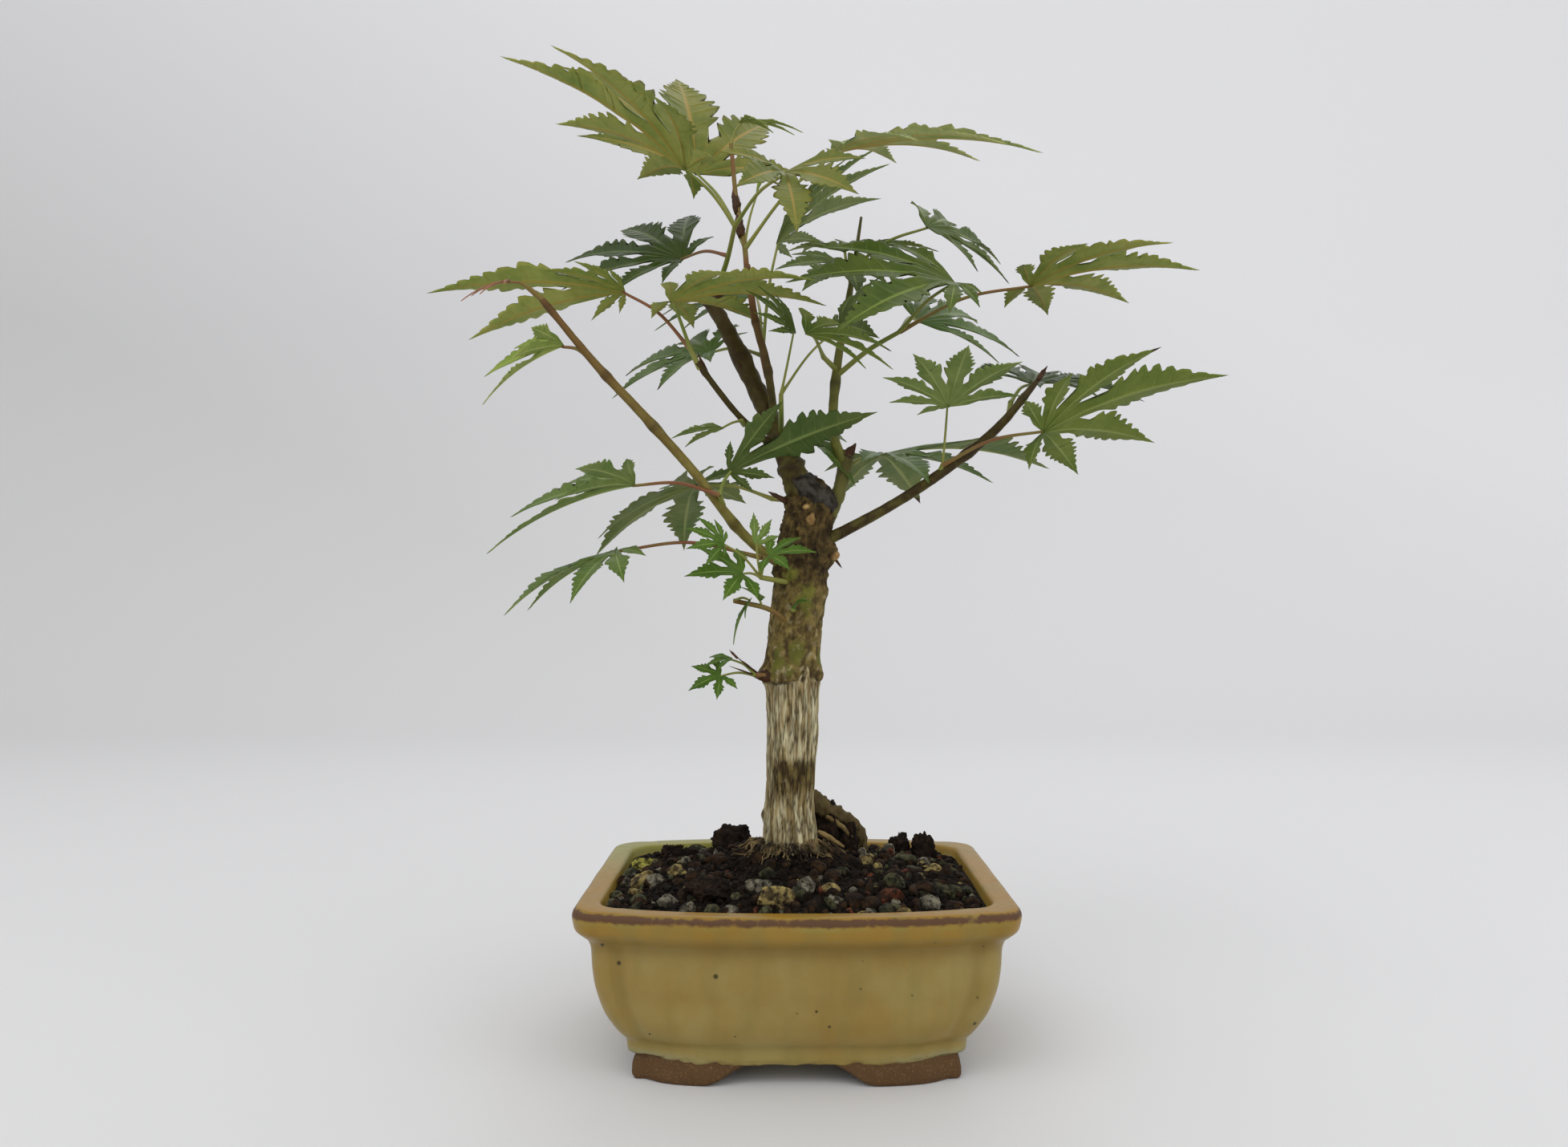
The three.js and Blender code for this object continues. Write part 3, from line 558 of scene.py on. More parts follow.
def tube_rings(line, radii, sides, shape=None):
    """Rings round a line. shape(step, turn, point) gives what a point's radius is multiplied by."""
    across = (line[1] - line[0]).orthogonal().normalized()
    rings = []
    for i, centre in enumerate(line):
        along = (line[min(i + 1, len(line) - 1)] - line[max(i - 1, 0)]).normalized()
        across = (across - along * across.dot(along)).normalized()
        beside = along.cross(across)
        ring = []
        for k in range(sides):
            turn = 2 * math.pi * k / sides
            out = across * math.cos(turn) + beside * math.sin(turn)
            share = shape(i, turn, centre + out * radii[i]) if shape else 1
            ring.append(centre + out * radii[i] * share)
        rings.append(ring)
    return rings


def smooth_step(value, low, high):
    """0 below low, 1 above high and a smooth rise between them."""
    share = min(max((value - low) / (high - low), 0), 1)
    return share * share * (3 - 2 * share)


# Pot


class PotSettings(bpy.types.PropertyGroup):
    """Sizes and colours of the pot."""

    crease_depth: FloatProperty(
        name="Crease depth", description="Depth of the crease beside each corner lobe",
        default=1.6 * MM, min=0, unit="LENGTH",
    )
    glaze: tone_property("Glaze", "Colour of the ochre glaze", "98864f")
    clay: tone_property("Clay", "Colour of the unglazed clay", "634a2f")


# Up the outside of the wall and down the inside: inset from the rim's outer edge, share of the
# crease's depth, height, and how thin the glaze has run there
WALL_PROFILE = (
    (26.0, 0.0, 9.4, 0.0), (19.0, 0.3, 8.4, 0.2), (17.6, 0.5, 6.9, 0.7), (16.9, 0.4, 6.7, 0.55),
    (16.3, 0.2, 7.5, 0.1), (16.0, 0.2, 8.8, 0.0), (15.9, 0.2, 10.4, 0.0), (15.6, 0.2, 11.8, 0.0),
    (15.0, 0.3, 12.8, 0.0), (13.7, 0.5, 14.4, 0.0), (11.2, 1.0, 18.5, 0.0), (9.4, 1.4, 22.0, 0.0),
    (7.8, 1.5, 26.5, 0.0), (6.7, 1.5, 31.0, 0.0), (6.1, 1.4, 36.0, 0.0), (5.9, 1.3, 40.0, 0.0),
    (5.6, 1.2, 43.0, 0.0), (4.6, 1.1, 45.1, 0.0), (2.6, 1.0, 46.9, 0.0), (0.9, 1.0, 48.7, 0.0),
    (0.2, 1.0, 51.4, 0.0), (0.0, 1.0, 52.9, 0.3), (0.05, 1.0, 53.9, 0.8), (0.35, 1.0, 54.8, 0.85),
    (0.9, 1.0, 55.4, 0.5), (1.7, 0.9, 55.8, 0.05), (5.5, 0.3, 55.85, 0.0), (7.2, 0.0, 55.7, 0.0),
    (8.0, 0.0, 54.9, 0.2), (8.6, 0.0, 52.9, 0.0), (11.0, 0.0, 46.0, 0.0), (22.0, 0.0, 14.0, 0.0),
)
WALL_STEPS = 4
BELT_TOP, BELT_FADE = 13, 16  # the wall's foot is a belt that covers the tops of the feet
BELT_REACH = 2.6  # how much less the belt is set in at the front and the back than at the ends
BODY_CORNER = 6.8  # the corner lobes are narrower below the lip
NECK_Z, NECK_REACH = 44.4, 3.0
LIP_BOTTOM, LIP_FULL = 42, 49
RIM_TOP = 55.7
WALL_BOTTOM, BOTTOM_INSET = 8, 19  # nearer the middle than this the wall's underside is hidden
CORNER_STEPS, SIDE_STEPS = 10, 26
# Pinholes in the glaze of the front: place across, height and radius
PINHOLES = (
    (-55.5, 39, 0.9), (-25, 36.5, 1.0), (56, 19, 0.8), (-60.5, 45, 0.8), (6, 25.5, 0.6),
    (10, 20.5, 0.6), (-46, 16.5, 0.5),
)


def pot_plan(inset, crease, z):
    """The pot's plan at one height, anticlockwise, this far in from the rim's outer edge."""
    half_length, half_depth = POT_LENGTH / 2 - inset, POT_DEPTH / 2 - inset
    in_belt = 1 - smooth_step(z, BELT_TOP, BELT_TOP + BELT_FADE)
    half_depth += BELT_REACH * in_belt
    power = BULGE_POWER + (BELT_POWER - BULGE_POWER) * in_belt
    corner = BODY_CORNER + (CORNER_RADIUS - BODY_CORNER) * smooth_step(z, LIP_BOTTOM, LIP_FULL)
    lobe_x = half_length - corner
    lobe_y = half_depth - FRONT_BULGE - corner
    crease_x = lobe_x - CREASE_SHIFT
    quarter = [(half_length, lobe_y * share) for share in (0, 0.33, 0.66)]
    for step in range(CORNER_STEPS + 1):
        turn = math.radians(90 / CORNER_STEPS * step)
        quarter.append((lobe_x + corner * math.cos(turn), lobe_y + corner * math.sin(turn)))
    for step in range(1, SIDE_STEPS + 1):
        x = lobe_x * (1 - step / SIDE_STEPS) ** 1.15
        share = min(x / crease_x, 1)
        y = half_depth - FRONT_BULGE * BULGE_SHARE * share**power
        y -= FRONT_BULGE * (1 - BULGE_SHARE) * smooth_step(x, crease_x - 1, lobe_x)
        y -= crease * math.exp(-(((x - crease_x) / CREASE_WIDTH) ** 2))
        quarter.append((x, y))
    ring = quarter + [(-x, y) for x, y in quarter[-2::-1]]
    ring += [(-x, -y) for x, y in quarter[1:]] + [(x, -y) for x, y in quarter[-2:0:-1]]
    return [Vector((x, y, z)) for x, y in ring]


def inner_inset(z):
    """How far the inside of the wall lies in from the rim's outer edge."""
    return np.interp(z, (INNER_FLOOR, POT_HEIGHT), (FLOOR_INSET, RIM_WIDTH))


def glaze_material(settings):
    """Ash glaze on stoneware, brushed and fired: satin ochre, darker in the creases and with painted shade
    under the lip, that breaks to brown where it has run thin over the rim's edge."""
    material, tree, shader, place = start_material("ochre_ash_glaze", 0.34, 0.16, Coat_Weight=0.03)
    clouds, cloud_share = patchwork(tree, place, 40, 5, 0.38, 0.64, Roughness=0.6)
    # Runs of the glaze, a few millimetres wide and drawn out down the wall
    drawn = add_node(tree, "ShaderNodeMapping", {"Vector": place, "Scale": (1.0, 1.0, 0.18)})
    _, run_share = patchwork(tree, drawn.outputs[0], 150, 3, 0.45, 0.75, 0.5)
    # The break is ragged: grains of 1 to 3 mm decide where the clay shows
    grains = add_node(tree, "ShaderNodeTexNoise", {"Vector": place, "Scale": 420, "Detail": 5})
    grain = grains.outputs["Fac"]
    thin = add_node(tree, "ShaderNodeAttribute", attribute_name="thin").outputs["Fac"]
    ragged = add_node(tree, "ShaderNodeMath", {0: thin, 1: grain}, operation="ADD").outputs[0]
    bare = add_node(tree, "ShaderNodeMapRange", {0: ragged, 1: 0.8, 2: 1.2}).outputs[0]
    # The glaze ends in a grey-green crust at the belt's lower edge
    crust = add_node(tree, "ShaderNodeAttribute", attribute_name="crust").outputs["Fac"]
    crusted = add_node(tree, "ShaderNodeMath", {0: crust, 1: grain}, operation="MULTIPLY").outputs[0]
    # Pinholes and iron specks, most of them under a millimetre
    specks = add_node(tree, "ShaderNodeTexVoronoi", {"Vector": place, "Scale": 150}).outputs["Distance"]
    marks = add_node(tree, "ShaderNodeMapRange", {0: specks, 1: 0.075, 2: 0.045, 4: 0.6}).outputs[0]
    flat = add_node(
        tree, "ShaderNodeVectorMath", {0: place, 1: (1.0, 0.0, 1.0)}, operation="MULTIPLY"
    ).outputs[0]
    for x, z, size in PINHOLES:
        spot = (ORIGIN.x + x * MM, 0, ORIGIN.z + z * MM)
        away = add_node(tree, "ShaderNodeVectorMath", {0: flat, 1: spot}, operation="DISTANCE")
        inputs = {0: away.outputs["Value"], 1: size * MM, 2: size * MM * 0.5, 4: 0.9}
        hole = add_node(tree, "ShaderNodeMapRange", inputs).outputs[0]
        marks = add_node(tree, "ShaderNodeMath", {0: marks, 1: hole}, operation="MAXIMUM").outputs[0]
    gloss = add_node(tree, "ShaderNodeMapRange", {0: ragged, 1: 0.5, 2: 1.4, 3: 0.3, 4: 0.6})
    tree.links.new(gloss.outputs[0], shader.inputs["Roughness"])
    rise = add_node(tree, "ShaderNodeMath", {0: crusted, 1: 6, 2: clouds}, operation="MULTIPLY_ADD")
    # 785d28 is painted shade under the lip, and darkens the glaze in the creases
    layers = (
        (cloud_share, "92783e"), ("lip", "936e20"), (run_share, "7f7440"), ("pool", "785d28"),
        ("green", "8a8a48"), (bare, "5a402c"), (crusted, "8e8a66"), (marks, "33301a"),
    )
    finish_surface(tree, shader, tuple(settings.glaze), layers, (0.35, 0.0004, rise.outputs[0]))
    return material


def glaze_marks(point, inset, z, thin_share, outside):
    """Where the glaze is thin, shaded by paint under the lip, darker in the creases, green, thicker on the
    lip and crusted, at one point.
    """
    uneven = noise.fractal(point / 9, 1.0, 2.0, 3)
    thin = thin_share * (1 + 0.35 * uneven)
    inner = 1 - 0.45 * smooth_step(point.y, 0, 50)
    lip = smooth_step(z, 43.5, 50) * (0.66 if outside else inner)
    left_back = smooth_step(point.y, -20, 50) * smooth_step(-point.x, -40, 40)
    green = 0.85 * left_back * smooth_step(z, 50, 54)
    if not outside:
        return thin, 0, max(green, 0), lip, 0
    # Shade is painted into the neck under the lip, and the glaze is darker beside the creases of the front
    # and back
    in_neck = math.exp(-(((z - NECK_Z) / NECK_REACH) ** 2))
    side = min(abs(abs(point.x) - (POT_LENGTH / 2 - inset - BODY_CORNER - CREASE_SHIFT)), 9)
    in_crease = math.exp(-((side / 2.0) ** 2)) * 0.25 if abs(point.y) > 30 else 0
    pool = min(0.45 * in_neck + in_crease, 1)
    at_edge = math.exp(-(((z - 52.4) / 0.7) ** 2)) * (0.2 + 0.5 * uneven)
    at_foot = (1 - smooth_step(z, WALL_BOTTOM, 17)) * 0.08
    crust = (1 - smooth_step(z, WALL_BOTTOM, 11)) * smooth_step(abs(point.x), 15, 50) * 1.5
    return thin, pool, max(green, at_edge, at_foot, 0), lip, crust


class MAPLE_OT_pot(bpy.types.Operator):
    """Make the glazed pot"""

    bl_idname = "maple.pot"
    bl_label = "Pot"

    def execute(self, context):
        settings = context.scene.maple_pot
        crease = settings.crease_depth / MM
        path = curve_points([row[:3] for row in WALL_PROFILE], WALL_STEPS)
        thins = spread([row[3] for row in WALL_PROFILE], WALL_STEPS)
        rings = []
        marks = {name: [] for name in ("thin", "pool", "green", "lip", "crust")}
        for (inset, depth, z), thin_share in zip(path, thins):
            ring = pot_plan(inset, crease * depth, z)
            outside = inset < BOTTOM_INSET and z < RIM_TOP
            for point in ring:
                # The wall was pressed and sponged by hand, so it is never quite even
                out = Vector((point.x, point.y, 0)).normalized()
                wave = noise.fractal(point / 24, 1.0, 2.0, 3) * 0.3 - 0.2
                if z < WALL_BOTTOM and inset < BOTTOM_INSET:
                    wave += noise.fractal(point / 4, 1.0, 2.0, 3) * 0.6
                    point.z += noise.fractal(point / 7, 1.0, 2.0, 3) * 0.7
                    point.z += 1.4 * smooth_step(abs(point.x), 36, 54)
                point += out * wave * (1 if outside else 0.2)
                given = glaze_marks(point, inset, z, float(thin_share), outside)
                for listed, value in zip(marks.values(), given):
                    listed.append(value)
            rings.append(ring)
        draft = MeshDraft(*marks)
        draft.add_rings(rings, **marks)
        seat(draft.build("pot_body", [glaze_material(settings)]), "ochre_glaze", "pot")
        return {"FINISHED"}


# Up the foot: how far its faces are drawn in, how far its two ends are, and the height
FOOT_PROFILE = (
    (1.0, 14.6, 0.0), (0.3, 13.6, 0.15), (-0.1, 12.2, 0.6), (-0.4, 9.8, 1.7), (-0.3, 7.4, 3.2),
    (0.0, 5.0, 4.8), (0.5, 1.8, 6.2), (0.9, -2.0, 9.4),
)
RIGHT_FOOT_LONGER = 4


def foot_plan(inset, slant, z, end, side):
    """The L-shaped plan of one foot, with a rounded corner."""
    back = FOOT_REACH - FOOT_LENGTH + slant - (RIGHT_FOOT_LONGER if end > 0 else 0)
    inner = FOOT_DEPTH_REACH - FOOT_DEPTH + slant * 0.6
    outer, front = FOOT_REACH - inset, FOOT_DEPTH_REACH - inset
    plan = []
    corners = (
        ((back, front - FOOT_FRONT_WALL), 2), ((back, front), 3), ((outer, front), FOOT_CORNER),
        ((outer, inner), 3), ((outer - FOOT_SIDE_WALL, inner), 2),
        ((outer - FOOT_CORNER - 1, front - FOOT_CORNER), 4),
    )
    for i, (corner, cut) in enumerate(corners):
        corner = Vector(corner)
        start = corner + (Vector(corners[i - 1][0]) - corner).normalized() * cut
        end_point = corner + (Vector(corners[(i + 1) % len(corners)][0]) - corner).normalized() * cut
        for step in range(7):
            t = step / 6
            plan.append(start * (1 - t) ** 2 + corner * 2 * t * (1 - t) + end_point * t * t)
    finer = []
    for i, point in enumerate(plan):
        after = plan[(i + 1) % len(plan)]
        parts = max(1, round((after - point).length / 1.5))
        finer += [point.lerp(after, part / parts) for part in range(parts)]
    ring = []
    for x, y in finer:
        # The front follows the wall's bulge, so it falls back towards the corner
        fall = FRONT_BULGE * BULGE_SHARE * min(x / FOOT_BULGE_END, 1) ** BELT_POWER
        y -= fall * smooth_step(y, front - FOOT_FRONT_WALL, front)
        ring.append(Vector((x * end, y * side, z)))
    return ring


def clay_material(settings):
    """Unglazed iron-bearing stoneware: matt red-brown, darker in patches, with pale sand grains."""
    material, tree, shader, place = start_material("unglazed_stoneware", 0.85)
    clouds = add_node(tree, "ShaderNodeTexNoise", {"Vector": place, "Scale": 110, "Detail": 5})
    sand, grain = patchwork(tree, place, 1500, 2, 0.55, 0.75, 0.5)
    layers = ((clouds.outputs["Fac"], "503a24"), (grain, "8a6c4a"))
    finish_surface(tree, shader, tuple(settings.clay), layers, (0.5, 0.0003, sand))
    return material


class MAPLE_OT_feet(bpy.types.Operator):
    """Make the four unglazed feet"""

    bl_idname = "maple.feet"
    bl_label = "Feet"

    def execute(self, context):
        draft = MeshDraft()
        path = curve_points(FOOT_PROFILE, 2)
        for side in (-1, 1):
            for end in (-1, 1):
                levels = []
                # All rings of a foot have as many points as the lowest one's plan
                count = len(foot_plan(*path[0], end, side))
                for inset, slant, z in path:
                    ring = foot_plan(inset, slant, z, end, side)
                    picks = [ring[int(i * len(ring) / count)] for i in range(count)]
                    # The lowest ring stays flat and even, because the pot stands on it
                    for point in picks if z > 0.5 else ():
                        out = Vector((point.x, point.y, 0)).normalized()
                        point += out * noise.fractal(point / 6, 1, 2, 3) * 0.35
                    levels.append(picks)
                draft.add_rings(levels)
        seat(draft.build("pot_feet", [clay_material(context.scene.maple_pot)]), "ochre_glaze")
        return {"FINISHED"}


# Soil and grit


class SoilSettings(bpy.types.PropertyGroup):
    """Sizes and colours of the soil and the grit on it."""

    grit_spacing: FloatProperty(
        name="Grit spacing", description="Least distance between stones of the same kind",
        default=9 * MM, min=2 * MM, unit="LENGTH",
    )
    seed: IntProperty(name="Seed", description="Where the crumbs and stones fall", default=7, min=0)
    soil: tone_property("Soil", "Colour of the damp soil", "1b130c")


SOIL_RINGS = 62
GRIT_RINGS = 26


def soil_height(x, y):
    """Height of the soil, which is heaped round the trunk and falls to the rim."""
    fall = smooth_step(math.hypot(x * PLATEAU_STRETCH, y), PLATEAU_RADIUS, POT_DEPTH / 2)
    heap = 1 - smooth_step(math.hypot(x - MOUND_X, y), MOUND_NEAR, MOUND_FAR)
    return SOIL_TOP + (SOIL_EDGE - SOIL_TOP) * fall + MOUND_TALL * heap


def crumbly(point):
    """How far the soil's surface stands out: lumps of a few millimetres with smaller ones on them."""
    at_trunk = 1 - smooth_step(math.hypot(point.x - MOUND_X, point.y), MOUND_NEAR, MOUND_FAR)
    return noise.fractal(point / 3.2, 0.8, 2.1, 4) * (1.0 + 1.4 * at_trunk)


def soil_material(settings):
    """Damp bonsai compost: nearly black humus with brown crumbs and a few pale fibres."""
    material, tree, shader, place = start_material("damp_compost", 0.9, 0.12)
    lumps, share = patchwork(tree, place, 260, 6, 0.38, 0.66)
    crumbs = add_node(tree, "ShaderNodeTexVoronoi", {"Vector": place, "Scale": 700}).outputs["Distance"]
    fibres = add_node(tree, "ShaderNodeMapRange", {0: crumbs, 1: 0.2, 2: 0.08, 4: 0.7}).outputs[0]
    layers = ((share, tuple(settings.soil)), (fibres, "4a3a26"))
    finish_surface(tree, shader, colour("080503"), layers, (0.8, 0.0006, lumps))
    return material


class MAPLE_OT_soil(bpy.types.Operator):
    """Make the soil's own mass"""

    bl_idname = "maple.soil"
    bl_label = "Soil"

    def execute(self, context):
        def wall(z):
            return pot_plan(inner_inset(z) + 0.2, 0, z)

        rings = [wall(INNER_FLOOR + 0.3), wall(30), wall(SOIL_EDGE - 0.5)]
        edge = wall(SOIL_EDGE)
        for step in range(SOIL_RINGS):
            share = 1 - (step / SOIL_RINGS) ** 1.1 * 0.985
            ring = []
            for point in edge:
                x, y = point.x * share, point.y * share
                spot = Vector((x, y, soil_height(x, y)))
                ring.append(spot + Vector((0, 0, crumbly(spot) * smooth_step(1 - share, 0, 0.06))))
            rings.append(ring)
        draft = MeshDraft()
        draft.add_rings(rings)
        seat(draft.build("soil_mass", [soil_material(context.scene.maple_soil)]), "bonsai_soil", "soil")
        return {"FINISHED"}


# Kinds of grit: name, base and second colour, smallest and largest size in mm, spacing as a share
# of the setting, roughness, and how far round the trunk none of it lies. The last two kinds only
# come as large lumps.
Grit = namedtuple("Grit", "name base second smallest largest spacing roughness clear")
GRIT_KINDS = (
    Grit("dark_crumbs", "1a120b", "090603", 1.2, 4.0, 0.185, 0.9, 13),
    Grit("brown_clay_granules", "362414", "130c07", 2.4, 7.6, 0.5, 0.85, 17),
    Grit("grey_pumice", "7a7464", "353228", 3.0, 8.6, 1.15, 0.8, 27),
    Grit("green_gravel", "4c4b33", "1d1d13", 2.8, 8.2, 0.95, 0.75, 24),
    Grit("tan_pumice", "958452", "443722", 2.2, 6.8, 1.4, 0.8, 24),
    Grit("red_lava", "5c311e", "28160d", 2.2, 5.8, 1.6, 0.85, 20),
    Grit("old_soil", "2b1e15", "0d0806", 0, 0, 0, 0.9, 0),
    Grit("dry_moss", "a09a4c", "4c4820", 0, 0, 0, 0.95, 0),
)
GRIT_STREWN = 6  # of the kinds
STONE_SHAPES = 6
STONE_BREAKS = 9
MULCH_FROM = 24  # behind this the soil is bare mulch


def stone_mesh(seed, detail):
    """A stone about 2 mm across: a sphere with hollows, cut by a few flat breaks."""
    dice = random.Random(seed)
    form = bmesh.new()
    bmesh.ops.create_icosphere(form, subdivisions=detail, radius=1)
    stretch = Vector((dice.uniform(0.8, 1.25), dice.uniform(0.75, 1.1), dice.uniform(0.55, 0.85)))
    breaks = []
    for _ in range(STONE_BREAKS):
        facing = Vector((dice.gauss(0, 1), dice.gauss(0, 1), dice.gauss(0, 1))).normalized()
        breaks.append((facing, dice.uniform(0.5, 0.82)))
    for corner in form.verts:
        point = corner.co.copy()
        point *= 1 + 0.22 * noise.fractal(point * 1.7 + Vector((seed * 7.3, 0, 0)), 1, 2, 3)
        for facing, reach in breaks:
            beyond = point.dot(facing) - reach
            if beyond > 0:
                point -= facing * beyond * 0.95
        corner.co = Vector((point.x * stretch.x, point.y * stretch.y, point.z * stretch.z)) * MM
    mesh = bpy.data.meshes.new("stone")
    form.to_mesh(mesh)
    form.free()
    return mesh


def stone_material(kind):
    """A granule of volcanic or baked clay grit: matt and pitted, with a stain of damp soil in its
    hollows."""
    material, tree, shader, place = start_material(kind.name, kind.roughness, 0.15)
    _, share = patchwork(tree, place, 260, 6, 0.38, 0.6)
    dirt, stain = patchwork(tree, place, 650, 4, 0.47, 0.62, 0.88)
    layers = ((share, kind.base), (stain, "120c07"))
    finish_surface(tree, shader, colour(kind.second), layers, (0.8, 0.0006, dirt))
    return material


def scatter_tree():
    """Strews stones over a surface: each is turned and sized at random, and their mesh is real."""
    tree, given = start_shape_tree(
        "strewn_grit", Surface="Geometry", Stones="Collection", Spacing="Float", Density="Float",
        Smallest="Float", Largest="Float", Seed="Int", Stone="Material",
    )
    seed = given["Seed"]
    places = {
        "Mesh": given["Surface"], "Distance Min": given["Spacing"], "Density Max": given["Density"],
        "Seed": seed,
    }
    points = add_node(tree, "GeometryNodeDistributePointsOnFaces", places, distribute_method="POISSON")
    turn = add_node(
        tree, "FunctionNodeRandomValue", {0: (0, 0, 0), 1: (math.tau, math.tau, math.tau), "Seed": seed},
        data_type="FLOAT_VECTOR",
    )
    share = add_node(tree, "FunctionNodeRandomValue", {2: 0.0, 3: 1.0, "Seed": seed}).outputs[1]
    # Small stones are commoner than large ones
    skewed = add_node(tree, "ShaderNodeMath", {0: share, 1: 1.8}, operation="POWER").outputs[0]
    size = add_node(tree, "ShaderNodeMapRange", {0: skewed, 3: given["Smallest"], 4: given["Largest"]})
    picked = {"Collection": given["Stones"], "Separate Children": True, "Reset Children": True}
    shapes = add_node(tree, "GeometryNodeCollectionInfo", picked)
    laid = {
        "Points": points.outputs["Points"], "Instance": shapes.outputs[0], "Pick Instance": True,
        "Rotation": turn.outputs[0], "Scale": size.outputs[0],
    }
    strewn = add_node(tree, "GeometryNodeInstanceOnPoints", laid)
    finish_shape_tree(tree, strewn.outputs[0], given["Stone"])
    return tree


def scatter_surface(name, clear):
    """The open surface of the soil that the grit lies on, without what is this near the trunk."""
    edge = pot_plan(inner_inset(SOIL_EDGE) + 2.2, 0, SOIL_EDGE)
    draft = MeshDraft()
    length = len(edge)
    points = []
    for step in range(GRIT_RINGS):
        share = 1 - step / GRIT_RINGS
        for point in edge:
            x, y = point.x * share, point.y * share
            spot = Vector((x, y, soil_height(x, y)))
            points.append(spot + Vector((0, 0, 0.6 * crumbly(spot))))
    faces = []
    for level in range(GRIT_RINGS - 1):
        for i in range(length):
            a, b = level * length + i, level * length + (i + 1) % length
            middle = (points[a] + points[b + length]) / 2
            # The edge of the bare ground wanders by a few millimetres
            reach = clear + 5 * noise.noise(middle / 9)
            in_mulch = clear > PLATEAU_RADIUS / 1.5 and middle.y > MULCH_FROM
            if math.hypot(middle.x - MOUND_X, middle.y) > max(reach, TRUNK_RADII[0] + 0.5) and not in_mulch:
                faces.append((a, b, b + length, a + length))
    draft.add(points, faces)
    surface = draft.build(name, [])
    # An open surface has no outside, so its faces are turned to look up
    form = bmesh.new()
    form.from_mesh(surface.data)
    bmesh.ops.reverse_faces(form, faces=[face for face in form.faces if face.normal.z < 0])
    form.to_mesh(surface.data)
    form.free()
    return surface


class MAPLE_OT_grit(bpy.types.Operator):
    """Strew crumbs and stones over the soil"""

    bl_idname = "maple.grit"
    bl_label = "Grit"

    def execute(self, context):
        settings = context.scene.maple_soil
        stones = bpy.data.collections.new("stone_shapes")
        for seed in range(STONE_SHAPES):
            stones.objects.link(bpy.data.objects.new(f"stone_{seed}", stone_mesh(seed, 2)))
        tree = scatter_tree()
        for number, kind in enumerate(GRIT_KINDS[:GRIT_STREWN]):
            piece = scatter_surface(kind.name, kind.clear)
            spacing = settings.grit_spacing * kind.spacing
            grow(
                piece, tree, stones=stones, spacing=spacing, density=3 / spacing**2,
                smallest=kind.smallest / 2, largest=kind.largest / 2,
                seed=settings.seed + number, stone=stone_material(kind),
            )
            seat(piece, "bonsai_soil")
        for shape in list(stones.objects):
            bpy.data.objects.remove(shape)
        bpy.data.collections.remove(stones)
        return {"FINISHED"}


# The largest grit and lumps: where they lie, how long, deep and tall they are, and their kind. A
# lump is a conglomerate of soil and fibres.
LARGE_STONES = (
    (-24, 38, 19, 14, 15, "lump"), (50, 35, 13, 10, 18, "lump"), (39.5, 34, 10, 9, 15, "lump"),
    (-46, 29, 10, 9, 10, "lump"), (-29, -35, 20, 14, 11, "lump"), (-40, 15, 13, 10, 7, "lump"),
    (11, 8, 20, 14, 26, "lump"), (19, 11, 15, 11, 18, "lump"), (-54, 12, 12, 10, 8, "dry_moss"),
    (-14, -35, 9, 7, 7, "grey_pumice"), (3, -36, 10, 7, 7.5, "grey_pumice"),
    (-6, -43.5, 13, 7, 8.5, "tan_pumice"), (12, -44, 6, 5, 5.5, "grey_pumice"),
    (19, -42.5, 8, 6, 6.5, "brown_clay_granules"), (30, -38, 11, 8, 7, "red_lava"),
    (33, -26, 10, 8, 7, "green_gravel"), (42, -28, 9, 7, 7, "brown_clay_granules"),
    (51, -25, 9, 7, 6, "green_gravel"), (48, -2, 8, 6, 5, "tan_pumice"),
    (40, 8, 9, 7, 5.5, "green_gravel"), (25, -4, 7, 6, 5, "tan_pumice"),
    (-41, -38, 8, 6, 6, "grey_pumice"), (-53, -14, 9, 7, 6, "tan_pumice"),
    (-41, -9, 7, 6, 5, "tan_pumice"), (-32, 8, 7, 6, 5, "brown_clay_granules"),
    (-37, 33, 8, 7, 6, "green_gravel"), (6, 40, 9, 7, 6, "grey_pumice"),
    (22, 36, 8, 6, 6, "brown_clay_granules"), (52, 16, 8, 7, 6, "green_gravel"),
    (-9, -24, 7, 6, 5, "green_gravel"), (12, -24, 7, 6, 5, "brown_clay_granules"),
)
LUMP_CRUMBLE = 0.22


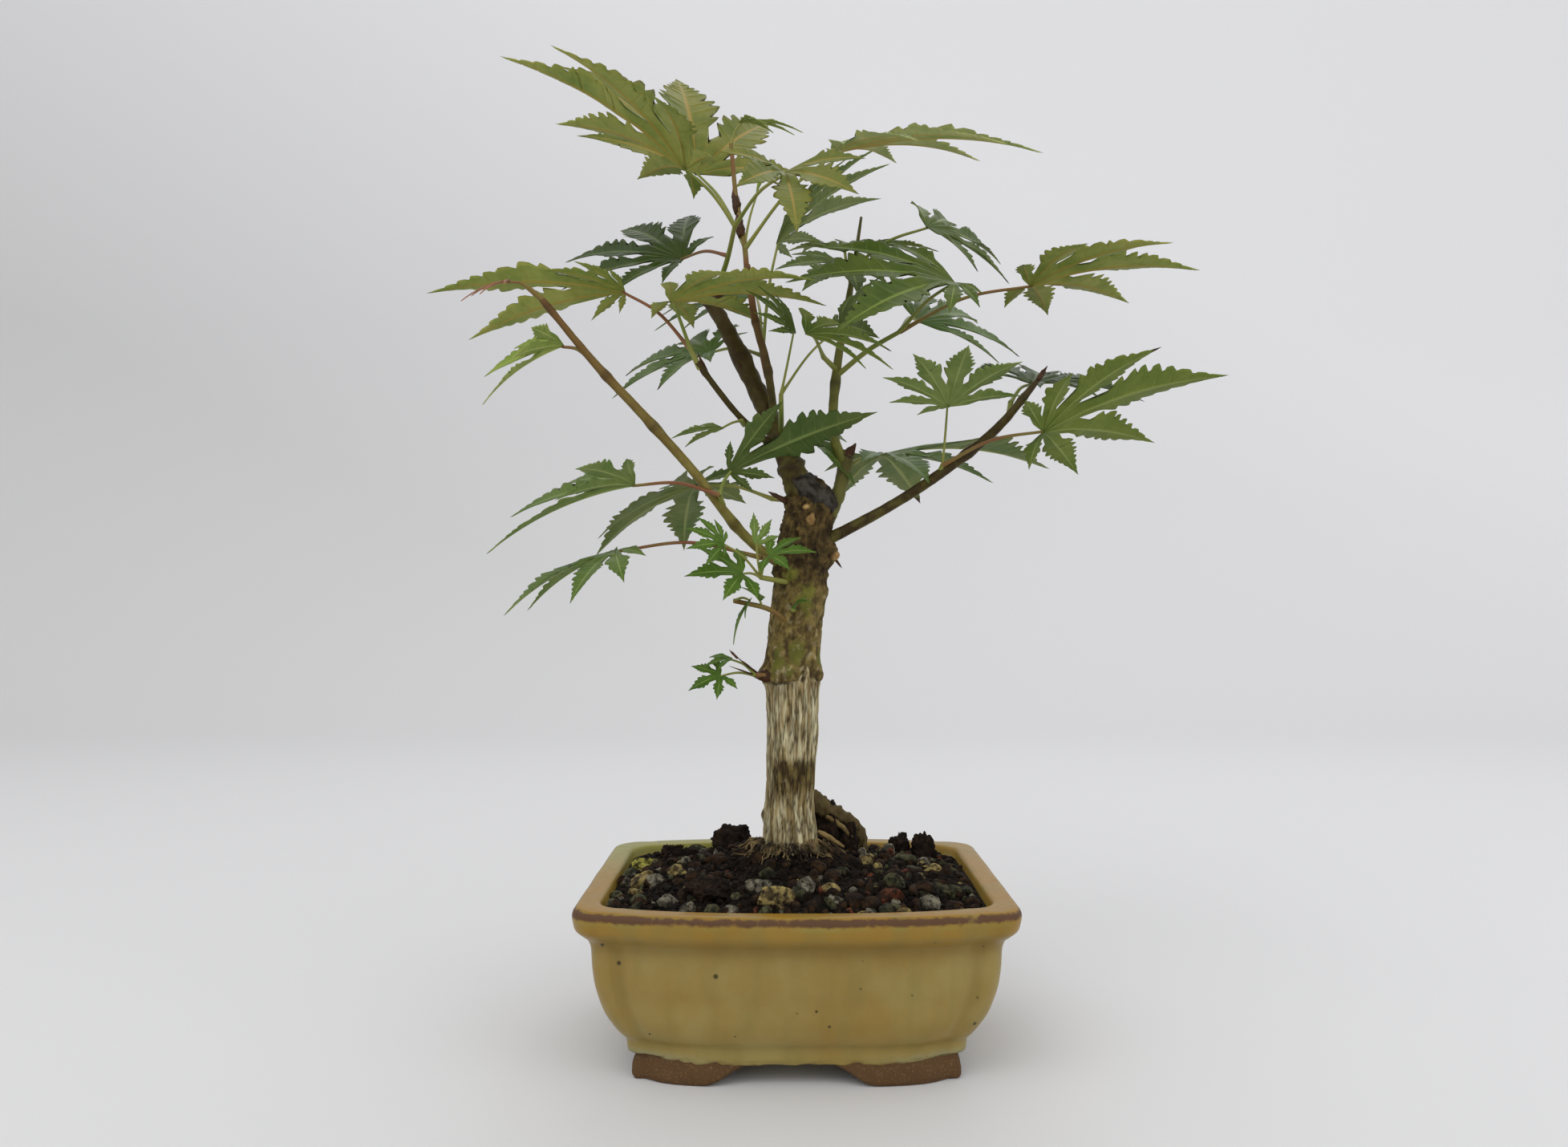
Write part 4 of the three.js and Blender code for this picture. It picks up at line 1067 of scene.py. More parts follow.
class MAPLE_OT_large_stones(bpy.types.Operator):
    """Lay the large stones and the lumps of old soil"""

    bl_idname = "maple.large_stones"
    bl_label = "Large Stones"

    def execute(self, context):
        names = [kind.name for kind in GRIT_KINDS]
        materials = [bpy.data.materials[name] for name in names[:GRIT_STREWN]]
        materials += [stone_material(kind) for kind in GRIT_KINDS[GRIT_STREWN:]]
        draft = MeshDraft()
        for number, (x, y, long, deep, tall, kind) in enumerate(LARGE_STONES):
            slot = names.index("old_soil" if kind == "lump" else kind)
            centre = Vector((x, y, soil_height(x, y) + tall * (0.5 - STONE_SINK)))
            lump = slot >= GRIT_STREWN
            self.add_stone(draft, centre, (long, deep, tall), number * 11 + 3, slot, lump)
        seat(draft.build("large_stones", materials), "bonsai_soil")
        return {"FINISHED"}

    @staticmethod
    def add_stone(draft, centre, size, seed, slot, lump):
        """One stone, grown or cut to its full size, or a lump whose surface is all crumbs."""
        mesh = stone_mesh(seed, 5 if lump else 4)
        points = [corner.co / MM for corner in mesh.vertices]
        if lump:
            aside = Vector((seed, 0, 0))
            # The lumps at the right are nearer to blocks than to balls, and all are crumbled
            square = 0.45 if centre.x > 30 else 0.1
            points = [p * (p.length / max(abs(axis) for axis in p)) ** square for p in points]
            points = [p * (1 + LUMP_CRUMBLE * noise.fractal(p * 3.5 + aside, 0.6, 2.2, 5)) for p in points]
        reach = [max(abs(point[axis]) for point in points) for axis in range(3)]
        placed = [
            centre + Vector([point[axis] / reach[axis] * size[axis] / 2 for axis in range(3)])
            for point in points
        ]
        draft.add(placed, [tuple(face.vertices) for face in mesh.polygons], slot)
        bpy.data.meshes.remove(mesh)


# Trunk


class TrunkSettings(bpy.types.PropertyGroup):
    """Sizes and colours of the trunk and the boughs."""

    fissure_depth: FloatProperty(
        name="Fissure depth", description="Depth of the bark's fissures",
        default=0.55 * MM, min=0, unit="LENGTH",
    )
    fissure_width: FloatProperty(
        name="Fissure width", description="Usual distance between the bark's fissures",
        default=1.15 * MM, min=0.3 * MM, unit="LENGTH",
    )
    pale_bark: tone_property("Pale bark", "Colour of the ridges of the lower bark", "cfc6a2")
    dark_bark: tone_property("Dark bark", "Colour of the rough upper bark", "66542e")


TRUNK_FOOT = 57.3
PALE_TOP = 123.5  # the old bark ends there in a ring
BAND_MIDDLE, BAND_REACH = 90.5, 5.6  # a dark stained band
FLARE_TOP, FLARE_TALL = 72, 15
CLIMB, CLIMB_TURN = 5.5, -57  # the old bark's upper edge climbs at the front right
DOME_STEPS, DOME_TALL = 8, 2.2  # the trunk closes as a low dome under the sealed cut
ROUGH_BOTTOM = 157
TRUNK_SIDES = 190
TRUNK_STEP = 0.36
# Bumps and stubs on the trunk: height, angle in degrees, size and how far they stand out
BUMPS = (
    (126, 197, 4.2, 3.2), (126, -12, 4.5, 1.7), (167.5, -8, 3.4, 2.4), (188, 184, 2.4, 2.2),
    (170, -4, 4.0, 1.6), (163, 200, 3.6, 1.6), (148, -62, 3.0, 0.9), (142, -118, 3.6, 1.4),
    (76.5, 186, 2.6, 1.0), (180.5, -84, 3.0, 0.8), (184.5, -98, 2.0, 0.7), (152, 60, 4.0, 1.5),
    (112, 95, 3.5, 1.0), (155, -6, 2.6, 1.0),
)
# Old cuts that show pale wood: height, angle in degrees and radius
SCARS = ((180.5, -84, 1.9), (184.8, -99, 1.3), (167.8, -12, 1.7))
ROOT_RIDGES = ((-155, 3.2), (-112, 2.4), (-66, 2.8), (-24, 3.4), (38, 3.0), (95, 2.6), (150, 3.0))
# Patches of smooth green skin: height, angle in degrees, and half their height and width
GREEN_PATCHES = (
    (134, -83, 4.2, 3.0), (131, -122, 5.6, 2.6), (127.5, -100, 2.4, 1.9), (152.5, -75, 5.0, 3.2),
    (161, -116, 3.2, 3.2), (140, 72, 6.5, 4.0), (130, 128, 4.2, 3.2), (149, 14, 4.6, 2.8),
    (145, 160, 5.4, 3.2), (132, -18, 3.4, 2.2),
)


def bark_relief(point, z, settings):
    """How far in the bark lies from its ridges at a point, from 0 on a ridge to 1 in a fissure."""
    width = settings.fissure_width / MM
    if z > PALE_TOP:
        uneven = noise.fractal(Vector((point.x / 1.9, point.y / 1.9, z / 3.2)), 0.9, 2.2, 4)
        return min(max(0.3 + 1.1 * uneven, 0), 1)
    spot = Vector((point.x / width, point.y / width, z / (width * 8)))
    ridged = 1 - abs(noise.noise(spot)) * 2.4
    fine = 1 - abs(noise.noise(spot * 2.3 + Vector((9, 4, 2)))) * 2.4
    return min(max(0.68 * ridged + 0.42 * fine - 0.18, 0), 1)


def angle_gap(turn, degrees):
    """The least angle between two directions, in radians."""
    return abs((turn - math.radians(degrees) + math.pi) % math.tau - math.pi)


def bark_at(surface, turn, radius, settings):
    """How far from the centre line the bark lies at a point of the plain round trunk, and its bark
    values: fissure, pale, green and scar."""
    z = surface.z
    flare = max(0, (FLARE_TOP - z) / FLARE_TALL) ** 2
    reach = radius - 1.2 * flare
    for degrees, tall in ROOT_RIDGES:
        reach += tall * flare * math.exp(-((angle_gap(turn, degrees) / 0.2) ** 2))
    reach += 0.5 * noise.noise(Vector((surface.x / 9, surface.y / 9, z / 14)))
    for height, degrees, size, rise in BUMPS:
        away = math.hypot(angle_gap(turn, degrees) * radius, z - height) / size
        reach += rise * math.exp(-(away**2) * 1.6)
    ragged = noise.fractal(surface / 2.4, 0.9, 2.1, 3)
    scar = 0.0
    for height, degrees, size in SCARS:
        away = math.hypot(angle_gap(turn, degrees) * radius, z - height) / size + 0.35 * ragged
        scar = max(scar, 1 - smooth_step(away, 0.6, 1.1))
        reach -= 0.35 * math.exp(-(((away - 1.15) / 0.25) ** 2))
    green = 0.0
    for height, degrees, tall, wide in GREEN_PATCHES:
        across = angle_gap(turn, degrees) * radius / wide
        away = math.hypot(across, (z - height) / tall) + 0.55 * ragged
        green = max(green, 1 - smooth_step(away, 0.6, 1.25))
    relief = bark_relief(surface, z, settings) * (1 - scar) * (1 - 0.85 * green)
    rough = smooth_step(z, ROUGH_BOTTOM - 4, ROUGH_BOTTOM + 6)
    relief_depth = settings.fissure_depth / MM * (1 + 0.7 * rough)
    lumps = noise.fractal(surface / 2.2, 0.9, 2.1, 3) * 0.75 * rough * (1 - scar)
    climb = CLIMB * math.exp(-((angle_gap(turn, CLIMB_TURN) / 0.3) ** 2))
    edge = PALE_TOP + climb + 0.9 * noise.noise(surface / 3)
    ring_line = math.exp(-(((z - edge) / 0.5) ** 2))
    reach += lumps - relief * relief_depth - 0.3 * ring_line
    in_band = math.exp(-(((z - BAND_MIDDLE) / BAND_REACH) ** 6))
    in_band *= smooth_step(math.cos(turn + math.pi / 2 - 0.25), 0.1, 0.75)
    fissure = min(relief * (1.1 if z < edge else 0.8) + 0.6 * ring_line + 0.32 * in_band, 1)
    stain = smooth_step(noise.noise(Vector((surface.x / 2.4, surface.y / 2.4, z / 9))), 0.1, 0.45)
    flecks = 0.45 * smooth_step(ragged, 0.25, 0.6) * (1 - smooth_step(z, 150, 160))
    pale = (1 - smooth_step(z, edge - 0.4, edge + 0.4)) * (1 - 0.97 * in_band)
    pale *= 0.86 + 0.14 * smooth_step(z, 78, 92)
    return reach, (fissure, max(pale * (1 - 0.4 * stain), flecks), green, scar)


def trunk_rings(settings):
    """Rings up the trunk with their bark values: fissure, pale, green and scar."""
    line = curve_points(TRUNK_CENTRES, 24)
    radii = spread(TRUNK_RADII, 24)
    heights, places = ([point[axis] for point in line] for axis in (2, 0))
    values = {"fissure": [], "pale": [], "green": [], "scar": []}
    rings = []
    top = TRUNK_CENTRES[-1][2]
    count = int((top - TRUNK_FOOT) / TRUNK_STEP)
    for step in range(count + 1):
        z = TRUNK_FOOT + (top - TRUNK_FOOT) * step / count
        centre = Vector((np.interp(z, heights, places), 0, z))
        radius = np.interp(z, heights, radii)
        ring = []
        for k in range(TRUNK_SIDES):
            turn = math.tau * k / TRUNK_SIDES
            out = Vector((math.cos(turn), math.sin(turn), 0))
            reach, given = bark_at(centre + out * radius, turn, radius, settings)
            ring.append(centre + out * reach)
            for listed, value in zip(values.values(), given):
                listed.append(value)
        rings.append(ring)
    for step in range(1, DOME_STEPS + 1):
        lean = step / DOME_STEPS * math.pi / 2
        centre = Vector((TRUNK_CENTRES[-1][0], 0, top))
        shrink, rise = math.cos(lean), DOME_TALL * math.sin(lean)
        lifted = centre + Vector((0, 0, rise))
        rings.append([lifted + (point - centre) * max(shrink, 0.05) for point in rings[count]])
        for listed in values.values():
            listed.extend(listed[-TRUNK_SIDES:])
    return rings, values


def bark_material(settings):
    """Maple bark: corky pale ridges between dark fissures on the old wood, smooth green and brown
    skin above, and rough dark bark below the cut."""
    material, tree, shader, place = start_material("maple_bark", 0.85)
    drawn = add_node(tree, "ShaderNodeMapping", {"Vector": place, "Scale": (1.0, 1.0, 0.16)})
    streaks, streak_share = patchwork(tree, drawn.outputs[0], 620, 5, 0.4, 0.6)
    _, patch_share = patchwork(tree, place, 260, 7, 0.37, 0.62, Roughness=0.65)
    # Below the old cut the bark is rough and dark, and lower down it is a middle brown
    height = add_node(tree, "ShaderNodeSeparateXYZ", {0: place}).outputs[2]
    above = add_node(tree, "ShaderNodeMapRange", {0: height, 1: 0.15, 2: 0.162}).outputs[0]
    ridges, brown, shaded, skin, wood = (
        add_node(tree, "ShaderNodeMix", {0: share, 6: first, 7: second}, data_type="RGBA").outputs[2]
        for share, first, second in (
            (streak_share, colour("94825a"), tuple(settings.pale_bark)),
            (above, colour("8c7a46"), tuple(settings.dark_bark)),
            (above, colour("584a28"), colour("1a1209")),
            (patch_share, colour("5c5a28"), colour("727130")),
            (patch_share, colour("7a5c36"), colour("b0925e")),
        )
    )
    layers = (
        (patch_share, brown), ("green", skin), ("pale", ridges), ("fissure", "342714"), ("scar", wood),
    )
    finish_surface(tree, shader, shaded, layers, (0.6, 0.0004, streaks))
    return material


class MAPLE_OT_trunk(bpy.types.Operator):
    """Make the trunk with its root flare, bark and old cuts"""

    bl_idname = "maple.trunk"
    bl_label = "Trunk"

    def execute(self, context):
        settings = context.scene.maple_trunk
        rings, values = trunk_rings(settings)
        draft = MeshDraft("fissure", "pale", "green", "scar")
        draft.add_rings(rings, **values)

        def gnarled(step, turn, point):
            return 1 + 0.32 * noise.fractal(point / 2.2, 0.8, 2.2, 5)

        for path, radii, bare in BARE_ROOTS:
            line, sizes = curve_points(path, 12), spread(radii, 12)
            rings = tube_rings(line, sizes, 28, gnarled)
            draft.add_rings(rings, fissure=0.72 * (1 - bare), pale=0.12, scar=bare)
        seat(draft.build("trunk_bark", [bark_material(settings)]), "trunk_bark", "trunk")
        return {"FINISHED"}


class MAPLE_OT_rootlets(bpy.types.Operator):
    """Lay the fine roots at the trunk's foot and on the surface root"""

    bl_idname = "maple.rootlets"
    bl_label = "Rootlets"

    def execute(self, context):
        # Dead fibrous roots: dry and dull, pale where their skin has gone
        material, tree, shader, place = start_material("dry_rootlets", 0.8)
        _, bare = patchwork(tree, place, 160, 3, 0.4, 0.62)
        finish_surface(tree, shader, colour("20170d"), ((bare, "7d6a48"),))
        seed = context.scene.maple_soil.seed
        dice = random.Random(seed)
        # Vector noise has a seed of its own, and takes the time of day if that is 0
        noise.seed_set(seed + 1)
        lines = []
        for number in range(ROOTLETS):
            turn = math.tau * (number + dice.random()) / ROOTLETS
            out = Vector((math.cos(turn), math.sin(turn), 0))
            aside = Vector((-out.y, out.x, 0)) * dice.uniform(-0.7, 0.7)
            near, far = TRUNK_RADII[0] - 2.5, TRUNK_RADII[0] + dice.uniform(1, 8)
            line = []
            for step in range(9):
                share = step / 8
                spot = Vector((MOUND_X, 0, 0)) + out * (near + (far - near) * share)
                spot += aside * share * share * (far - near) * 0.6
                spot.z = soil_height(spot.x, spot.y) + 1.0 + 3.2 * (1 - share) ** 2
                spot += noise.noise_vector(spot / 3.0) * 2.0
                line.append((spot, dice.uniform(0.2, 0.45) * (1.1 - 0.7 * share)))
            lines.append(line)
        for _ in range(HANGING_ROOTLETS):
            start = Vector(ROOT_PATH[-2]) + Vector([dice.uniform(-2.5, 2) for _ in range(3)])
            reach = Vector((dice.uniform(-2, 3), dice.uniform(-3, 1), dice.uniform(-13, 2)))
            line = []
            for step in range(8):
                spot = start + reach * step / 7
                line.append((spot + noise.noise_vector(spot / 2.5) * 1.6, 0.26 * (1.1 - 0.08 * step)))
            lines.append(line)
        build_tubes(context, "rootlets", "trunk_bark", stalk_tree("dry_roots"), lines, material)
        return {"FINISHED"}


# The paste's middle, the way it faces, its half length and half width, and half its thickness
PASTE_CENTRE, PASTE_FACING = (7.0, -0.9, 191), (0.6, -0.32, 0.73)
PASTE_LONG, PASTE_WIDE, PASTE_THICK = 9.6, 8.6, 3.8
PASTE_RINGS, PASTE_SIDES = 30, 64


class MAPLE_OT_wound_seal(bpy.types.Operator):
    """Spread the dark sealing paste over the pruning cut"""

    bl_idname = "maple.wound_seal"
    bl_label = "Wound Seal"

    def execute(self, context):
        # Cut paste is a kneaded putty: dark grey, matt, thumbed on and cracked a little
        material, tree, shader, place = start_material("wound_paste", 0.62)
        _, worn = patchwork(tree, place, 300, 6, 0.4, 0.62)
        finish_surface(tree, shader, colour("1e1812"), ((worn, "46413a"),))
        centre, facing = Vector(PASTE_CENTRE), Vector(PASTE_FACING).normalized()
        side = facing.cross(Vector((0, 1, 0))).normalized()
        back = side.cross(facing)
        rings = []
        for step in range(1, PASTE_RINGS):
            lean = math.pi * step / PASTE_RINGS
            ring = []
            for k in range(PASTE_SIDES):
                turn = math.tau * k / PASTE_SIDES
                out = side * math.cos(turn) * PASTE_LONG + back * math.sin(turn) * PASTE_WIDE
                point = centre + out * math.sin(lean) ** 0.8 + facing * math.cos(lean) * PASTE_THICK
                point += facing * noise.fractal(point / 3.6, 0.9, 2.1, 4) * 1.1
                point += out.normalized() * noise.fractal(point / 3.0, 0.9, 2.1, 3) * 0.9
                ring.append(point)
            rings.append(ring)
        draft = MeshDraft()
        draft.add_rings(rings)
        seat(draft.build("wound_seal", [material]), "trunk_bark")
        return {"FINISHED"}


# Boughs and shoots


def shoot_material(name, base, second, tip):
    """Young maple bark: a thin satin skin, mottled by age and darker at its nodes."""
    material, tree, shader, place = start_material(name, 0.5)
    mottle, share = patchwork(tree, place, 240, 5, 0.4, 0.62)
    layers = ((share, second), ("age", tip), ("knot", "2b1d10"))
    finish_surface(tree, shader, colour(base), layers, (0.4, 0.0003, mottle))
    return material


LIMB_SIDES = 18
KNOT_REACH, SWELL_REACH = 0.014, 0.022  # of a node's dark ring and its swelling, along the limb
NODE_SWELL = 0.24


class MAPLE_OT_boughs(bpy.types.Operator):
    """Make the boughs and shoots"""

    bl_idname = "maple.boughs"
    bl_label = "Boughs"

    def execute(self, context):
        materials = {
            "brown": shoot_material("brown_maple_bark", "32250a", "56501e", "40320f"),
            "olive": shoot_material("olive_maple_bark", "6e682c", "86833e", "684a26"),
            "green": shoot_material("green_maple_bark", "66662c", "7a7838", "4f4a24"),
            "dusky": shoot_material("dusky_maple_bark", "33350f", "4c4a1c", "6e4a2c"),
        }
        for limb in LIMBS:
            line, radii = curve_points(limb.path, 16), spread(limb.radii, 16)
            last = len(line) - 1
            gaps = [min(abs(i / last - at) for at in limb.nodes) for i in range(last + 1)]
            knots, swells = (
                [math.exp(-((gap / reach) ** 2)) for gap in gaps] for reach in (KNOT_REACH, SWELL_REACH)
            )

            def shape(step, turn, point, swells=swells, limb=limb):
                rough = 0.16 if limb.name in ("leader", "cut_stub") else 0.07
                return 1 + NODE_SWELL * swells[step] + rough * noise.fractal(point / 2.6, 1, 2, 3)

            draft = MeshDraft("age", "knot")
            ages = [i / last for i in range(last + 1) for _ in range(LIMB_SIDES)]
            marks = [0.5 * knot for knot in knots for _ in range(LIMB_SIDES)]
            draft.add_rings(tube_rings(line, radii, LIMB_SIDES, shape), age=ages, knot=marks)
            slot = "brown_shoot" if limb.bark == "brown" else "green_shoot"
            seat(draft.build(f"{limb.name}_bark", [materials[limb.bark]]), slot, limb.name)
        return {"FINISHED"}


# Bud scales, collars, snags and dead twiglets: root, tip and thickest radius
BUDS = (
    ((-19, -4.5, 281), (-21, -2, 292), 1.7), ((-20.6, -2.4, 290), (-22, -1, 301), 1.6),
    ((-30, 8, 258), (-37, 6, 266), 1.7), ((-31, 8, 259), (-25, 6, 267), 2.2),
    ((-31, 7, 260), (-32, 5, 267), 1.8), ((-17, 3, 232), (-21, 0, 238), 0.8),
    ((-10, -4, 209), (-17, -6, 214), 0.6), ((-30, -13, 229), (-34, -13, 238), 0.8),
    ((18, 7, 203), (22, 6, 209), 1.9), ((17, 8, 204), (15, 7, 209), 1.3),
    ((-3, -3, 187), (-9.5, -4, 190.5), 1.1), ((-8, -4, 125.5), (-15, -7, 126), 2.4),
    ((-13, -7, 126.5), (-21, -11, 133), 0.4), ((-20, -10.5, 132), (-23, -11, 135), 0.5),
    ((-14, -8, 126), (-23, -12, 129.5), 0.35), ((14, -1.5, 167), (16.5, -3, 163.5), 0.5),
    ((84, -12, 228.5), (88, -10, 234), 0.9),
)


class MAPLE_OT_buds(bpy.types.Operator):
    """Set the bud scales, collars and dead snags on the wood"""

    bl_idname = "maple.buds"
    bl_label = "Buds"

    def execute(self, context):
        draft = MeshDraft("age", "knot")
        for root, tip, radius in BUDS:
            line = curve_points((root, tip), 14)
            sizes = np.interp(np.linspace(0, 1, len(line)), (0, 0.25, 0.6, 1), (0.75, 1, 0.8, 0.12))

            def scaly(step, turn, point):
                return 1 + 0.3 * noise.fractal(point / 1.6, 0.9, 2, 3)

            draft.add_rings(tube_rings(line, sizes * radius, 12, scaly), age=0.5, knot=0.25)
        material = shoot_material("bud_scales", "33200f", "5d3c22", "4a2c16")
        seat(draft.build("buds", [material]), "brown_shoot")
        return {"FINISHED"}


# Stalks


class LeafSettings(bpy.types.PropertyGroup):
    """Sizes of the leaves."""

    teeth: IntProperty(
        name="Teeth", description="Teeth along each side of a large lobe", default=8, min=3,
    )
    tooth_depth: FloatProperty(
        name="Tooth depth", description="Depth of a tooth as a share of the lobe's half width",
        default=0.36, min=0, max=1, subtype="FACTOR",
    )
    thickness: FloatProperty(
        name="Thickness", description="Thickness of the blade beside its midribs",
        default=0.3 * MM, min=0.1 * MM, unit="LENGTH",
    )
    stalk_sides: IntProperty(
        name="Stalk sides", description="Sides of a leaf stalk", default=8, min=3,
    )


def stalk_tree(name):
    """Turns lines with a radius at each point into closed round stalks."""
    tree, given = start_shape_tree(name, Lines="Geometry", Sides="Int", Bark="Material")
    lines = add_node(tree, "GeometryNodeMeshToCurve", {"Mesh": given["Lines"]})
    radius = add_node(tree, "GeometryNodeInputNamedAttribute", {"Name": "radius"}, data_type="FLOAT")
    section = add_node(
        tree, "GeometryNodeCurvePrimitiveCircle", {"Resolution": given["Sides"], "Radius": 1.0}
    )
    swept = {
        "Curve": lines.outputs[0], "Profile Curve": section.outputs[0],
        "Scale": radius.outputs[0], "Fill Caps": True,
    }
    tubes = add_node(tree, "GeometryNodeCurveToMesh", swept)
    smooth = add_node(tree, "GeometryNodeSetShadeSmooth", {"Geometry": tubes.outputs[0]})
    finish_shape_tree(tree, smooth.outputs[0], given["Bark"])
    return tree


def build_tubes(context, name, slot, tree, lines, material):
    """Makes a piece of round tubes along lines, each of which lists its points and their radii."""
    mesh = bpy.data.meshes.new(name)
    points, edges, radii = [], [], []
    for line in lines:
        first = len(points)
        points += [tuple(ORIGIN + point * MM) for point, _ in line]
        radii += [radius * MM for _, radius in line]
        edges += [(first + i, first + i + 1) for i in range(len(line) - 1)]
    mesh.from_pydata(points, edges, [])
    mesh.attributes.new("radius", "FLOAT", "POINT").data.foreach_set("value", radii)
    piece = bpy.data.objects.new(name, mesh)
    context.collection.objects.link(piece)
    grow(piece, tree, sides=context.scene.maple_leaves.stalk_sides, bark=material)
    seat(piece, slot)


def stalk_lines():
    """The lines of all stems and stalks, by the colour of their skin: points with their radii."""
    lines = {"green": [], "red": []}
    for group, (stem, *leaves) in FOLIAGE.items():
        line = curve_points(stem, 8)
        shares = np.linspace(0, 1, len(line))
        radii = STEM_RADIUS - STEM_TAPER * shares * (len(stem) - 1) / len(stem)
        skin = "red" if group in RED_STEMS else "green"
        lines[skin].append([(point, radius) for point, radius in zip(line, radii)])
        for spec in leaves:
            start = line[round(spec.start * (len(line) - 1))]
            foot = Vector(spec.foot)
            inward = Vector(spec.tip) - foot
            radius = SMALL_STALK_RADIUS if inward.length < SMALL_BLADE else STALK_RADIUS
            end = foot + inward.normalized() * STALK_IN_BLADE
            bend = start.lerp(foot, 0.5)
            bend.z += STALK_BOW * (foot - start).length
            path = curve_points((start, bend, end), 10)
            # A stalk is clasped where it leaves the stem, then even, and fine where it meets the blade
            shares = np.linspace(0, 1, len(path))
            sizes = np.interp(shares, (0, 0.07, 0.2, 0.6, 1), (1.6, 1.25, 1, 0.9, 0.75))
            lines[spec.stalk].append([(point, radius * size) for point, size in zip(path, sizes)])
    return lines


def stalk_material(name, base, second):
    """A leaf stalk: a smooth waxy skin, flushed with another colour along its length."""
    material, tree, shader, place = start_material(name, 0.42)
    _, flush = patchwork(tree, place, 60, 3, 0.4, 0.6)
    finish_surface(tree, shader, colour(base), ((flush, second),))
    return material


class MAPLE_OT_stalks(bpy.types.Operator):
    """Make the stems and stalks that carry the leaves"""

    bl_idname = "maple.stalks"
    bl_label = "Stalks"

    def execute(self, context):
        tree = stalk_tree("leaf_stalks")
        skins = {
            "green": stalk_material("green_stalk_skin", "6f7a34", "8a8a46"),
            "red": stalk_material("red_stalk_skin", "7c5034", "7a6a36"),
        }
        for skin, lines in stalk_lines().items():
            build_tubes(context, f"stalks_{skin}", "leaf", tree, lines, skins[skin])
        return {"FINISHED"}


# Leaf blades

Lobe = namedtuple("Lobe", "along normal length step")


def lobes_of(spec):
    """Directions and lengths of a leaf's lobes, by the same rule as its solid."""
    middle = Vector(spec.tip) - Vector(spec.foot)
    beside = Vector(spec.side) - Vector(spec.foot)
    turn_axis = middle.cross(beside).normalized()
    angle = middle.angle(beside)
    steps = max(1, round(angle / LOBE_STEP))
    stretch = beside.length / (middle.length * LOBE_REACH[steps])
    upright = middle.cross(Vector((0, 0, 1))).normalized()
    lobes = []
    for index in range(spec.lobes):
        k = index - (spec.lobes - 1) // 2
        out = abs(k)
        turn = (out if spec.droops else k) * angle / steps
        along = Matrix.Rotation(turn, 3, turn_axis) @ middle.normalized()
        normal = turn_axis.copy()
        mirrored = turn_axis - 2 * turn_axis.dot(upright) * upright
        if spec.droops and k < 0:
            along -= 2 * along.dot(upright) * upright
            # Mirroring turns the blade's sense of left and right, so its normal is turned back
            normal = mirrored
        elif spec.droops and k == 0:
            normal = (turn_axis + mirrored).normalized()
        share = 1 + (stretch - 1) * k / steps if 0 < k <= steps else spec.rest
        reach = 1 if k == 0 else min(max(LOBE_REACH[out] * share, SHORTEST_LOBE), LONGEST_LOBE)
        lobes.append(Lobe(along, normal, middle.length * reach, angle / steps))
    return lobes


# Across a lobe: places as shares of its half width, and how much each shows of the midrib
COLUMNS = (-1, -0.8, -0.5, -0.25, -0.1, -0.035, 0, 0.035, 0.1, 0.25, 0.5, 0.8, 1)
RIB_SHARES = (0.25, 0, 0, 0, 0, 1, 1, 1, 0, 0, 0, 0, 0.25)
BASE_ROWS = 5
DRY_TIP_SHARE = 0.09
DRY_EDGE_SHARE = 0.07
TEETH_START, TEETH_END = SINUS_REACH * 1.02, 0.97
RIPPLE = 0.012
ROW_SWEEP = 0.6
VEIN_SINK = 0.004
# Along a tooth, from its notch: how far on, how much of its depth, and how much shows its vein
TOOTH = ((0.0, 0.0, 0), (0.32, 0.72, 0), (0.62, 0.95, 0), (0.74, 1.0, 0), (0.8, 1.04, 1), (0.87, 0.78, 0))


def half_width(share, widest):
    """Half the width of a lobe at this share of its length, as a share of that length."""
    if share > WIDE_AT:
        return widest * (1 - ((share - WIDE_AT) / (1 - WIDE_AT)) ** 1.5) ** 1.4
    return widest * (1 - 0.5 * ((WIDE_AT - share) / (WIDE_AT - SINUS_REACH * 0.8)) ** 2)


def dry_marks(rows, size, dice):
    """How dry each point of a lobe is. Withered tips are brown, and some lobes have a brown spot on
    their edge."""
    dry_from = 0.9 if dice.random() < DRY_TIP_SHARE else 2
    dries = []
    for level, row in enumerate(rows):
        share = level / (len(rows) - 1)
        dries.append([smooth_step(share, dry_from - 0.02, dry_from + 0.03)] * len(row))
    if dice.random() < DRY_EDGE_SHARE and size > SMALL_BLADE:
        level = dice.randrange(len(rows) // 2, len(rows) - 6)
        column = dice.choice((0, len(COLUMNS) - 1))
        for near in range(-2, 3):
            dries[level + near][column] = 1 - 0.2 * abs(near)
    return dries


